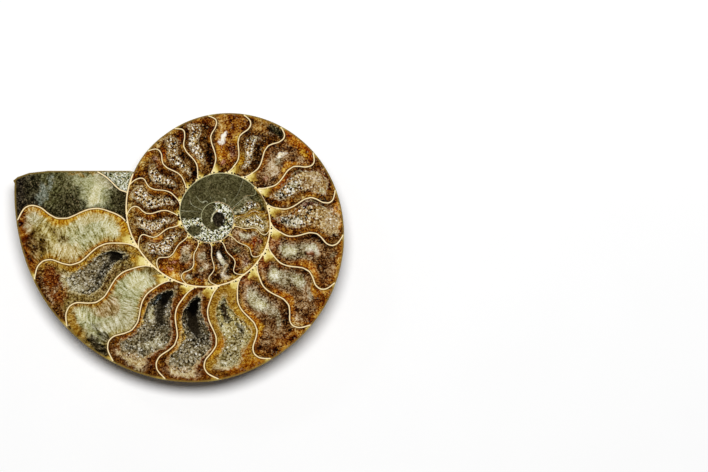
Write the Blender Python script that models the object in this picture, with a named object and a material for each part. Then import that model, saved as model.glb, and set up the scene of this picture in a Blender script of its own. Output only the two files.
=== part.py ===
"""Half of a sawn and polished ammonite, lying on its natural back with the sawn face up.

Metres, +Z up. The shell is a planispiral: its outer edge, the venter, is a logarithmic spiral about
the pole, and septa divide its whorls into chambers. The growth angle theta is in degrees, clockwise
from +X as seen from above, and grows towards the mouth; whole turns lead back to the first whorls.
Inside a whorl, u runs from 0 at its inner wall to 1 at the venter, and inside a chamber, s runs from
0 at the older septum to 1 at the younger one. Chambers and septa are numbered back from the mouth.
Plan lengths are in millimetres about the pole until a mesh is made, and z is 0 on the sawn face.
"""

import math
import random

import bpy
import numpy as np
from mathutils import Vector
from mathutils.geometry import delaunay_2d_cdt

MM = 0.001

# The spiral. SWELL is the real venter's radius over the plain spiral's, by growth angle.
VENTER_RADIUS = 43.39
GROWTH_PER_TURN = 2.414
SWELL = [(-900, .93), (-700, .91), (-600, .94), (-500, .962), (-465, .977), (-412, 1.032), (-350, 1.013),
         (-280, 1.0), (-215, 1.016), (-178, 1.045), (-145, 1.03), (-115, 1.004), (-30, .991), (15, .98),
         (60, .981), (90, .996), (120, .993), (150, .992), (181, .98), (215, .974)]

# The mouth end is cut straight across, parallel to X, from where the last whorl leaves the one before
# it, and its outer corner is broken away.
VENTER_START, VENTER_END = -150.0, 190.0
MOUTH_Y = 15.9
MOUTH_CORNER = [(-67.0, 12.6), (-65.6, 13.8), (-61.7, 15.2), (-56.1, 15.8)]
MOUTH_STEPS = 6
OUTLINE_STEP = 2.5

# The septa: the youngest one's angle, and the step from each one back to the next.
FIRST_SEPTUM = 185.0
SEPTUM_STEPS = [18, 17.3, 17.7, 19, 18.5, 20, 20.2, 20.3, 20.7, 21, 21.3, 20.3, 19.2, 20.5, 19.5, 19.8,
                21.2, 21, 21, 23.5, 24, 25.5, 25, 24.5, 27, 24, 25]
# The S of a septum: how many steps it runs ahead of its own angle, by height u.
SEPTUM_CURVE = [(0, -.45), (.05, -.22), (.12, -.095), (.25, 0), (.32, -.03), (.4, -.105), (.48, -.19),
                (.55, -.24), (.62, -.245), (.68, -.19), (.78, -.05), (.84, -.03), (.9, -.07), (1, -.32)]

# The back. Half the breadth of the last whorl at its shoulder, how it grew, and how the breadth
# falls off from there, by share of the venter's radius.
SHOULDER_BREADTH = 15.2
BREADTH_GROWTH = [(-1100, .1), (-720, .2), (-540, .33), (-360, .53), (-250, .7), (-150, .84), (-60, .96),
                  (0, .985), (90, 1.0), (210, 1.0)]
PROFILE = [(0, .3), (.27, .45), (.31, .72), (.36, .93), (.42, 1.0), (.5, .985), (.65, .88), (.8, .68),
           (.9, .48), (.95, .33), (.985, .17), (1.0, .0)]
EDGE_THICKNESS = .9
TURNS_ON_BACK = 3
OUTER_STATIONS = [.975, .93, .87, .78, .67, .55, .42, .36, .325, .3]
INNER_STATIONS = [.62, .5, .42, .36, .3]
BACK_STEP = 5.0
EDGE_CLEARANCE = .35
# The last whorl ends on the one before it in a step along a ray from the umbilicus to the mouth's edge.
STEP_FROM, STEP_POINTS, STEP_HALF_WIDTH = 22.0, 5, .3

# The open hollows: chamber, rows of (u, left s, right s), depth of the shallow floor, then the depth
# and the height u of the deepest place.
HOLLOWS = [
    (2, [(.13, .42, .70), (.3, .30, .80), (.5, .18, .82), (.75, .14, .80)], 2.4, 6.0, .22),
    (4, [(.10, .24, .80), (.3, .14, .84), (.6, .10, .86), (.91, .14, .84)], 2.6, 8.0, .27),
    (5, [(.09, .26, .80), (.3, .16, .80), (.6, .10, .84), (.92, .12, .86)], 2.6, 8.0, .30),
    (6, [(.13, .36, .74), (.3, .24, .78), (.6, .14, .80), (.88, .20, .82)], 2.0, 4.6, .28),
    (10, [(.10, .30, .66), (.4, .14, .72), (.65, .12, .76), (.94, .12, .88)], 1.5, 2.2, .30),
    (11, [(.13, .26, .62), (.45, .22, .70), (.7, .18, .80), (.91, .14, .86)], 1.4, 2.2, .40),
    (13, [(.18, .36, .58), (.45, .30, .58), (.68, .22, .62)], 1.3, 1.6, .5),
    (15, [(.25, .24, .50), (.5, .22, .56), (.72, .16, .56), (.91, .12, .54)], 1.3, 1.7, .6),
    (16, [(.18, .36, .58), (.5, .32, .62), (.7, .26, .68), (.93, .26, .66)], 1.2, 1.6, .6),
    (17, [(.27, .34, .60), (.5, .30, .62), (.8, .24, .66)], 1.2, 1.5, .6),
    (18, [(.15, .42, .68), (.4, .28, .66), (.7, .22, .74), (.89, .16, .76)], 1.2, 1.5, .6),
    (19, [(.15, .34, .60), (.4, .28, .62), (.84, .18, .72)], 1.2, 1.4, .6),
    (20, [(.13, .36, .66), (.4, .28, .70), (.85, .18, .76)], 1.2, 1.4, .5),
    (26, [(.15, .30, .80), (.5, .26, .84), (.9, .30, .88)], 1.2, 1.4, .5),
    (27, [(.18, .36, .76), (.45, .34, .80), (.76, .38, .76)], 1.2, 1.3, .5),
]
DEEP_SPREAD = .17
# A hollow is nested rings: each one's share of its width, and of its depth.
RINGS = [(1, 0), (.87, .6), (.6, .92), (.25, 1.0)]
RING_POINTS = 20
CENTRE_AT, CENTRE_RADII, CENTRE_DEPTH = (1.3, -.3), (2.0, 2.5), 1.6

# The crystal crusts, from the second ring in. No crystal stands above the sawn face.
GAP = .3
CRUST_THICKNESS, RIM_THICKNESS = .7, .25
CRYSTAL_RISE = .55
CRYSTAL_SPACING = 1.15
BELOW_FACE = .12
GOLDEN_ANGLE = math.radians(137.508)
SEED = 11

SHELL_COLOUR, SHELL_ROUGHNESS = (.24, .11, .035, 1), .28
CRYSTAL_COLOUR, CRYSTAL_ROUGHNESS = (.5, .43, .36, 1), .35


def eased(x, knots):
    """Smooth curve through the knots that never overshoots them."""
    kx, ky = np.array(knots, float).T
    slope = np.diff(ky) / np.diff(kx)
    product = slope[:-1] * slope[1:]
    inner = np.where(product > 0, 2 * product / (slope[:-1] + slope[1:] + 1e-12), 0)
    tangent = np.concatenate([slope[:1], inner, slope[-1:]])
    x = np.clip(x, kx[0], kx[-1])
    i = np.clip(np.searchsorted(kx, x) - 1, 0, len(kx) - 2)
    width = kx[i + 1] - kx[i]
    t = (x - kx[i]) / width
    rise = ky[i] + (ky[i + 1] - ky[i]) * t * t * (3 - 2 * t)
    return float(rise + width * t * (1 - t) * (tangent[i] * (1 - t) - tangent[i + 1] * t))


def venter(theta):
    """Radius of the shell's outer edge about the pole."""
    return VENTER_RADIUS * GROWTH_PER_TURN ** (theta / 360) * eased(theta, SWELL)


def polar(radius, theta):
    """Plan point at a growth angle."""
    return radius * math.cos(math.radians(theta)), -radius * math.sin(math.radians(theta))


def septum_angle(number, u):
    """Growth angle of a septum at height u."""
    step = SEPTUM_STEPS[min(number, len(SEPTUM_STEPS)) - 1]
    return FIRST_SEPTUM - sum(SEPTUM_STEPS[:number - 1]) + step * eased(u, SEPTUM_CURVE)


def chamber_point(chamber, s, u):
    """Plan point inside a chamber."""
    older, younger = septum_angle(chamber + 1, u), septum_angle(chamber, u)
    theta = older + s * (younger - older)
    inner, outer = venter(theta - 360), venter(theta)
    return polar(inner + u * (outer - inner), theta)


def outline():
    """Edge of the sawn face, counter-clockwise: across the sawn mouth, round its corner, round the venter."""
    count = round((VENTER_END - VENTER_START) / OUTLINE_STEP)
    edge = [polar(venter(theta), theta) for theta in np.linspace(VENTER_START, VENTER_END, count + 1)]
    meeting = MOUTH_Y / math.tan(math.radians(-VENTER_START))
    across = np.linspace(MOUTH_CORNER[-1][0], meeting - 2 * STEP_HALF_WIDTH, MOUTH_STEPS + 1)
    edge += MOUTH_CORNER + [(x, MOUTH_Y) for x in across[1:]]
    return edge[::-1]


def whorl_depth(radius, theta):
    """How far the back of the whorls lies below the sawn face, the deepest whorl at that place."""
    depth = 0
    for turn in range(TURNS_ON_BACK):
        share = radius / venter(theta - 360 * turn)
        if share < 1:
            depth = max(depth, eased(share, PROFILE) * eased(theta - 360 * turn, BREADTH_GROWTH))
    return EDGE_THICKNESS + SHOULDER_BREADTH * depth


def back_height(x, y):
    """Height of the natural back at a plan point."""
    turned = (math.degrees(math.atan2(-y, x)) - VENTER_START + 1e-6) % 360
    return -whorl_depth(math.hypot(x, y) - 1e-6, VENTER_START + turned)


def inside(point, edge, margin):
    """Whether a plan point is inside the outline, and further than the margin from it."""
    crossings = 0
    for (ax, ay), (bx, by) in zip(edge, edge[1:] + edge[:1]):
        run = Vector((bx - ax, by - ay))
        along = max(0, min(1, run.dot((point[0] - ax, point[1] - ay)) / run.length_squared))
        if math.hypot(point[0] - ax - along * run.x, point[1] - ay - along * run.y) < margin:
            return False
        if (ay > point[1]) != (by > point[1]) and point[0] < ax + (point[1] - ay) / (by - ay) * (bx - ax):
            crossings += 1
    return crossings % 2 == 1


def step_lines():
    """Plan lines on both sides of the step where the last whorl ends on the one before it."""
    lines = []
    for side in (-1, 1):
        lines.append([])
        for radius in np.linspace(STEP_FROM, venter(VENTER_START) - STEP_HALF_WIDTH, STEP_POINTS):
            aside = math.degrees(side * STEP_HALF_WIDTH / radius)
            lines[-1].append(polar(radius, VENTER_START + aside))
    return lines


def back_lines(edge):
    """Plan lines that follow the whorls round the back, clear of the outline and of the step."""
    lines = []
    stations = [(0, share) for share in OUTER_STATIONS]
    stations += [(turn, share) for turn in range(1, TURNS_ON_BACK) for share in INNER_STATIONS]
    for turn, share in stations:
        line = []
        for theta in np.arange(VENTER_START + BACK_STEP, VENTER_START + 360, BACK_STEP):
            line.append(polar(share * venter(theta - 360 * turn), theta))
        lines.append([point for point in line if inside(point, edge, EDGE_CLEARANCE)])
    return lines


def hollow_floor(hollow, u):
    """Depth of a hollow's floor at height u."""
    shallow, deep, deepest_at = hollow[2:]
    return shallow + (deep - shallow) * math.exp(-((u - deepest_at) / DEEP_SPREAD) ** 2)


def hollow_point(hollow, share, turn):
    """Point of a hollow's surface, at a share of its width and an angle round it."""
    chamber, rows = hollow[:2]
    low, high = rows[0][0], rows[-1][0]
    along = math.copysign(abs(math.cos(turn)) ** .8, math.cos(turn))
    across = math.copysign(abs(math.sin(turn)) ** .8, math.sin(turn))
    u = (low + high) / 2 + (high - low) / 2 * along * share
    left = eased(u, [(row[0], row[1]) for row in rows])
    right = eased(u, [(row[0], row[2]) for row in rows])
    s = (left + right) / 2 - (right - left) / 2 * across * share
    depth = np.interp(share, [ring[0] for ring in RINGS][::-1], [ring[1] for ring in RINGS][::-1])
    return *chamber_point(chamber, s, u), -hollow_floor(hollow, u) * float(depth)


def hollow_rings(hollow):
    """The nested rings of a hollow's surface."""
    turns = [2 * math.pi * k / RING_POINTS for k in range(RING_POINTS)]
    return [[hollow_point(hollow, share, turn) for turn in turns] for share, _ in RINGS]


def centre_rings():
    """The small pit at the first whorl."""
    rings = []
    for share, depth in RINGS[:3]:
        rings.append([])
        for k in range(RING_POINTS):
            turn = 2 * math.pi * k / RING_POINTS
            x = CENTRE_AT[0] + CENTRE_RADII[0] * share * math.cos(turn)
            y = CENTRE_AT[1] + CENTRE_RADII[1] * share * math.sin(turn)
            rings[-1].append((x, y, -CENTRE_DEPTH * depth))
    return rings


def sheet(border, loops, lines, points):
    """Triangles between the given points, inside the border and keeping the loops and lines as edges."""
    corners, edges = [], []
    for chain, closed in [(border, 1)] + [(loop, 1) for loop in loops] + [(line, 0) for line in lines]:
        first = len(corners)
        corners += chain
        edges += [(first + k, first + (k + 1) % len(chain)) for k in range(len(chain) - 1 + closed)]
    corners += points
    plan = [Vector(corner[:2]) for corner in corners]
    _, _, faces, sources, _, _ = delaunay_2d_cdt(plan, edges, [range(len(border))], 1, 1e-7)
    return corners, [[sources[v][0] for v in face] for face in faces]


def closed_solid(name, top, bottom, rim, material, place):
    """One closed mesh from two sheets whose first rim points lie over each other."""
    (top_points, top_faces), (bottom_points, bottom_faces) = top, bottom
    shift = len(top_points)
    faces = list(top_faces)
    faces += [[v + shift for v in reversed(face)] for face in bottom_faces]
    for k in range(rim):
        after = (k + 1) % rim
        faces += [[after, k, k + shift], [after, k + shift, after + shift]]
    points = [((x + place[0]) * MM, (y + place[1]) * MM, (z + place[2]) * MM)
              for x, y, z in top_points + bottom_points]
    mesh = bpy.data.meshes.new(name)
    mesh.from_pydata(points, [], faces)
    mesh.materials.append(material)
    mesh.validate()
    obj = bpy.data.objects.new(name, mesh)
    return obj


def plain_material(name, colour, roughness):
    """A plain finish."""
    material = bpy.data.materials.new(name)
    material.use_nodes = True
    shader = material.node_tree.nodes["Principled BSDF"]
    shader.inputs["Base Color"].default_value = colour
    shader.inputs["Roughness"].default_value = roughness
    return material


def ammonite_half(edge, place):
    """The fossil itself, with its hollows sunk into the sawn face."""
    loops = centre_rings()
    for hollow in HOLLOWS:
        loops += hollow_rings(hollow)
    top = sheet([(x, y, 0) for x, y in edge], loops, [], [])
    rim = [(x, y, back_height(x, y)) for x, y in edge]
    lines = [[(x, y, back_height(x, y)) for x, y in line] for line in step_lines() + back_lines(edge)]
    bottom = sheet(rim, [], lines, [(0, 0, back_height(0, 0))])
    material = plain_material("shell", SHELL_COLOUR, SHELL_ROUGHNESS)
    return closed_solid("ammonite_half", top, bottom, len(edge), material, place)


def crust_crystals(hollow, area, rng):
    """Points of the crust's upper side: crystal tips between lower points where crystals meet."""
    count = int(area / CRYSTAL_SPACING ** 2)
    points = []
    for k in range(count):
        share = RINGS[1][0] * .93 * math.sqrt((k + .5) / count)
        x, y, z = hollow_point(hollow, share, k * GOLDEN_ANGLE)
        rise = CRYSTAL_RISE * rng.uniform(.6, 1) if k % 3 else 0
        points.append((x, y, min(z + GAP + CRUST_THICKNESS * (1 - share ** 4) + rise, -BELOW_FACE)))
    return points


def crystal_crust(hollow, material, place, rng):
    """The crust of crystals that lines one hollow."""
    rings = hollow_rings(hollow)[1:]
    lower = [[(x, y, z + GAP) for x, y, z in ring] for ring in rings]
    rim = [(x, y, min(z + RIM_THICKNESS, -BELOW_FACE)) for x, y, z in lower[0]]
    area = abs(sum(a[0] * b[1] - b[0] * a[1] for a, b in zip(rim, rim[1:] + rim[:1]))) / 2
    top = sheet(rim, [], [], crust_crystals(hollow, area, rng))
    bottom = sheet(lower[0], lower[1:], [], [])
    name = f"crystal_crust_{hollow[0]:02d}"
    return closed_solid(name, top, bottom, len(rim), material, place)


def main():
    for obj in list(bpy.data.objects):
        bpy.data.objects.remove(obj)
    collection = bpy.data.collections.new("ammonite_fossil_half")
    bpy.context.scene.collection.children.link(collection)
    edge = outline()
    xs, ys = zip(*edge)
    place = (-(min(xs) + max(xs)) / 2, -(min(ys) + max(ys)) / 2, SHOULDER_BREADTH + EDGE_THICKNESS)
    collection.objects.link(ammonite_half(edge, place))
    crystal = plain_material("crystal", CRYSTAL_COLOUR, CRYSTAL_ROUGHNESS)
    rng = random.Random(SEED)
    for hollow in HOLLOWS:
        collection.objects.link(crystal_crust(hollow, crystal, place, rng))


main()
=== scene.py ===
"""Looks of the sawn and polished ammonite half: its section, the crystals in its hollows and its back.

The plan of the shell is worked out as in the part's source: millimetres about the pole, growth angle
theta in degrees clockwise from +X, height u from 0 at a whorl's inner wall to 1 at the venter, and
inside a chamber s from 0 at the older septum to 1 at the younger one. The z of the sawn face is 0.
Positions in arrays are one row for each point.
"""

import math

import bpy
import numpy as np
from mathutils import Euler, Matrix, Vector, kdtree, noise
from mathutils.geometry import delaunay_2d_cdt

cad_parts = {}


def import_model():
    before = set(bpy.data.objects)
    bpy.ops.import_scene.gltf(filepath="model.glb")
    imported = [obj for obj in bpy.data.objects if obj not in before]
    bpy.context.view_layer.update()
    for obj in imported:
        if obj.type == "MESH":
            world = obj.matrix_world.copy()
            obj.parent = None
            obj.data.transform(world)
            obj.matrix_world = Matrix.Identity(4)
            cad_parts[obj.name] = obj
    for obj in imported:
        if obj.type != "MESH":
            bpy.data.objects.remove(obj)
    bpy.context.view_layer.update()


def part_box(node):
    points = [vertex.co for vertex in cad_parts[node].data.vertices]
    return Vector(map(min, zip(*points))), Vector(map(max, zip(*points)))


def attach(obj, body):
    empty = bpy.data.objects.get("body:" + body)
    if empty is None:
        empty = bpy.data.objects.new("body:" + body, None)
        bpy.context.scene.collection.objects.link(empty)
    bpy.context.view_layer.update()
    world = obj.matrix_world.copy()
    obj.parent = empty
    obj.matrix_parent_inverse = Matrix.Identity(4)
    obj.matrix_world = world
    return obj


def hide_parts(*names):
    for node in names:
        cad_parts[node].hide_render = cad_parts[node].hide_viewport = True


MM = 0.001

# ---- The shell's plan, as in the part's source ----
VENTER_RADIUS = 43.39
GROWTH_PER_TURN = 2.414
SWELL = [(-900, .93), (-700, .91), (-600, .94), (-500, .962), (-465, .977), (-412, 1.032), (-350, 1.013),
         (-280, 1.0), (-215, 1.016), (-178, 1.045), (-145, 1.03), (-115, 1.004), (-30, .991), (15, .98),
         (60, .981), (90, .996), (120, .993), (150, .992), (181, .98), (215, .974)]
VENTER_START, VENTER_END = -150.0, 190.0
MOUTH_Y = 15.9
MOUTH_CORNER = [(-67.0, 12.6), (-65.6, 13.8), (-61.7, 15.2), (-56.1, 15.8)]
OUTLINE_STEP, MOUTH_STEP = 1.0, .5
FIRST_SEPTUM = 185.0
SEPTUM_STEPS = [18, 17.3, 17.7, 19, 18.5, 20, 20.2, 20.3, 20.7, 21, 21.3, 20.3, 19.2, 20.5, 19.5, 19.8,
                21.2, 21, 21, 23.5, 24, 25.5, 25, 24.5, 27, 24, 25]
LAST_SEPTUM = len(SEPTUM_STEPS) + 1
STEP_AT_MOUTH = 17.5
SEPTUM_CURVE = [(0, -.45), (.05, -.22), (.12, -.095), (.25, 0), (.32, -.03), (.4, -.105), (.48, -.19),
                (.55, -.24), (.62, -.245), (.68, -.19), (.78, -.05), (.84, -.03), (.9, -.07), (1, -.32)]
# The inner whorl's first septa turn the other way at their foot.
FIRST_TURNED = 20
TURNED_FOOT = [(0, .3), (.05, .12), (.12, .02), (.2, 0)]
INNERMOST_ANGLE = -900.0
WHORLS = 4

# The section shows the septa and the innermost walls a little off that plan, in millimetres: each
# septum in its trough, on its crest and by the venter, towards the younger side, and the walls
# outwards by growth angle. The mouth's septum has a line of its own.
SEPTUM_SHIFTS = [
    (-.45, -.35, -.3), (-.6, -.15, -.65), (-.6, 0, -.75), (-.6, -.3, -1.0), (-.7, -.2, -.45),
    (-.25, .35, -.1), (-.25, .05, -.45), (0, .4, -.4), (.1, .35, .05), (.05, .3, -.05),
    (.3, .25, .35), (.2, .35, .7), (.1, .2, .45), (.1, .05, .05), (.45, .2, .6),
    (.1, -.35, .15), (.05, -.1, -.15), (.1, -.15, -1.15), (0, .05, -.25), (.1, .05, -1.15),
    (.25, .35, -.3), (-.1, .15, -.1), (.4, .45, -.05), (.05, .25, -.35), (.25, 0, -.5),
]
# The heights u of no shift, the trough, the crest and the venter.
SHIFT_HEIGHTS = (0, .3, .56, .78, .93, 1)
WALL_SHIFTS = [(-760, 0), (-735, -.2), (-690, -.75), (-635, -.9), (-575, -.4), (-550, .1), (-510, .6),
               (-455, .6), (-425, .15), (-400, 0)]
MOUTH_SEPTUM = [(0, -.33), (.06, -.32), (.1, -.27), (.15, -.175), (.22, -.08), (.3, -.04), (.5, 0), (1, 0)]

# The back, as in the part's source.
SHOULDER_BREADTH, EDGE_THICKNESS = 15.2, .9
BREADTH_GROWTH = [(-1100, .1), (-720, .2), (-540, .33), (-360, .53), (-250, .7), (-150, .84), (-60, .96),
                  (0, .985), (90, 1.0), (210, 1.0)]
PROFILE = [(0, .3), (.27, .45), (.31, .72), (.36, .93), (.42, 1.0), (.5, .985), (.65, .88), (.8, .68),
           (.9, .48), (.95, .33), (.985, .17), (1.0, .0)]
TURNS_ON_BACK = 3
NUDGE = 1e-6
STEP_FROM, STEP_HALF_WIDTH = 22.0, .3

# The hollows, as in the part's source: chamber, rows of (u, left s, right s), depth of the shallow
# floor, then the depth and the height u of the deepest place.
HOLLOWS = [
    (2, [(.13, .42, .70), (.3, .30, .80), (.5, .18, .82), (.75, .14, .80)], 2.4, 6.0, .22),
    (4, [(.10, .24, .80), (.3, .14, .84), (.6, .10, .86), (.91, .14, .84)], 2.6, 8.0, .27),
    (5, [(.09, .26, .80), (.3, .16, .80), (.6, .10, .84), (.92, .12, .86)], 2.6, 8.0, .30),
    (6, [(.13, .36, .74), (.3, .24, .78), (.6, .14, .80), (.88, .20, .82)], 2.0, 4.6, .28),
    (10, [(.10, .30, .66), (.4, .14, .72), (.65, .12, .76), (.94, .12, .88)], 1.5, 2.2, .30),
    (11, [(.13, .26, .62), (.45, .22, .70), (.7, .18, .80), (.91, .14, .86)], 1.4, 2.2, .40),
    (13, [(.18, .36, .58), (.45, .30, .58), (.68, .22, .62)], 1.3, 1.6, .5),
    (15, [(.25, .24, .50), (.5, .22, .56), (.72, .16, .56), (.91, .12, .54)], 1.3, 1.7, .6),
    (16, [(.18, .36, .58), (.5, .32, .62), (.7, .26, .68), (.93, .26, .66)], 1.2, 1.6, .6),
    (17, [(.27, .34, .60), (.5, .30, .62), (.8, .24, .66)], 1.2, 1.5, .6),
    (18, [(.15, .42, .68), (.4, .28, .66), (.7, .22, .74), (.89, .16, .76)], 1.2, 1.5, .6),
    (19, [(.15, .34, .60), (.4, .28, .62), (.84, .18, .72)], 1.2, 1.4, .6),
    (20, [(.13, .36, .66), (.4, .28, .70), (.85, .18, .76)], 1.2, 1.4, .5),
    (26, [(.15, .30, .80), (.5, .26, .84), (.9, .30, .88)], 1.2, 1.4, .5),
    (27, [(.18, .36, .76), (.45, .34, .80), (.76, .38, .76)], 1.2, 1.3, .5),
]
DEEP_SPREAD = .17
ROUNDNESS = 2.5
HOLLOW_DEPTHS = [(0, 1.0), (.25, 1.0), (.6, .92), (.87, .6), (1, 0)]
CENTRE_AT, CENTRE_RADII, CENTRE_DEPTH = (1.3, -.3), (2.0, 2.5), 1.6
# The shell's very first wall lines the pit on this side, out to this share of its radii.
FIRST_WALL_SIDE, FIRST_WALL = (-.8, .6), 1.4

# ---- Colours, as seen, 0 to 255 ----
COLOURS = {
    "ivory": (250, 228, 178), "cream": (250, 236, 188), "butter": (228, 210, 134), "flax": (200, 176, 86),
    "gold": (192, 148, 36), "amber": (170, 106, 14), "orange": (164, 82, 6), "rust": (122, 66, 6),
    "brick": (106, 46, 6), "umber": (84, 45, 5), "bark": (50, 24, 3), "black": (6, 4, 3),
    "soot_and_shade": (38, 31, 20), "moss": (80, 77, 42), "ink": (54, 48, 24), "olive": (76, 70, 38),
    "reed": (98, 93, 58), "sage": (176, 174, 132), "chalk": (216, 210, 172), "frost": (192, 184, 150),
    "ash": (142, 128, 94), "slate": (80, 72, 54), "steel": (126, 130, 114), "tan": (174, 146, 102),
    "sand": (190, 166, 124), "mauve": (120, 83, 42), "straw": (180, 164, 102), "wheat": (206, 190, 142),
    "lichen": (182, 182, 152), "honey": (158, 119, 36), "pink": (180, 120, 100), "plum": (84, 41, 26),
    "khaki": (130, 108, 52), "snow": (242, 234, 212), "blue": (80, 98, 104), "buff": (182, 152, 94),
}

# What fills each chamber: at its core, by the older septum, by the younger one, towards the inner
# wall and towards the venter.
FILLS = {
    -1: ("lichen", "lichen", "lichen", "lichen", "lichen"),
    0: ("moss", "ink", "reed", "ink", "soot_and_shade"),
    1: ("straw", "honey", "gold", "gold", "rust"),
    2: ("khaki", "khaki", "honey", "honey", "umber"),
    3: ("sage", "straw", "honey", "khaki", "khaki"),
    4: ("rust", "brick", "amber", "umber", "umber"),
    5: ("rust", "brick", "amber", "rust", "rust"),
    6: ("honey", "honey", "honey", "honey", "amber"),
    7: ("mauve", "umber", "amber", "brick", "rust"),
    8: ("mauve", "umber", "amber", "brick", "rust"),
    9: ("mauve", "umber", "rust", "brick", "rust"),
    10: ("rust", "umber", "rust", "brick", "amber"),
    11: ("rust", "rust", "umber", "umber", "rust"),
    12: ("mauve", "rust", "rust", "umber", "orange"),
    13: ("umber", "umber", "umber", "umber", "umber"),
    14: ("rust", "umber", "rust", "umber", "rust"),
    15: ("umber", "rust", "brick", "umber", "rust"),
    16: ("umber", "rust", "umber", "bark", "rust"),
    17: ("umber", "rust", "umber", "umber", "amber"),
    18: ("umber", "umber", "rust", "umber", "honey"),
    19: ("umber", "rust", "rust", "umber", "honey"),
    20: ("umber", "umber", "rust", "umber", "honey"),
    21: ("rust", "mauve", "rust", "umber", "amber"),
    22: ("mauve", "umber", "amber", "umber", "honey"),
    23: ("bark", "umber", "umber", "umber", "honey"),
    24: ("mauve", "honey", "rust", "umber", "honey"),
    25: ("mauve", "honey", "rust", "umber", "honey"),
    26: ("khaki", "honey", "khaki", "khaki", "honey"),
    27: ("olive", "olive", "honey", "olive", "khaki"),
}
# What the crystals in the hollows are coloured like, before the patches.
DRUSE = {**dict.fromkeys((2, 4, 5), "ash"), 6: "straw", 26: "wheat", 27: "khaki",
         **dict.fromkeys((10, 11, 13, *range(15, 21)), "buff")}
# How far the four sides' colours reach into a chamber, as shares of s and of u.
SIDE_REACH, END_REACH = .22, .16
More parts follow.
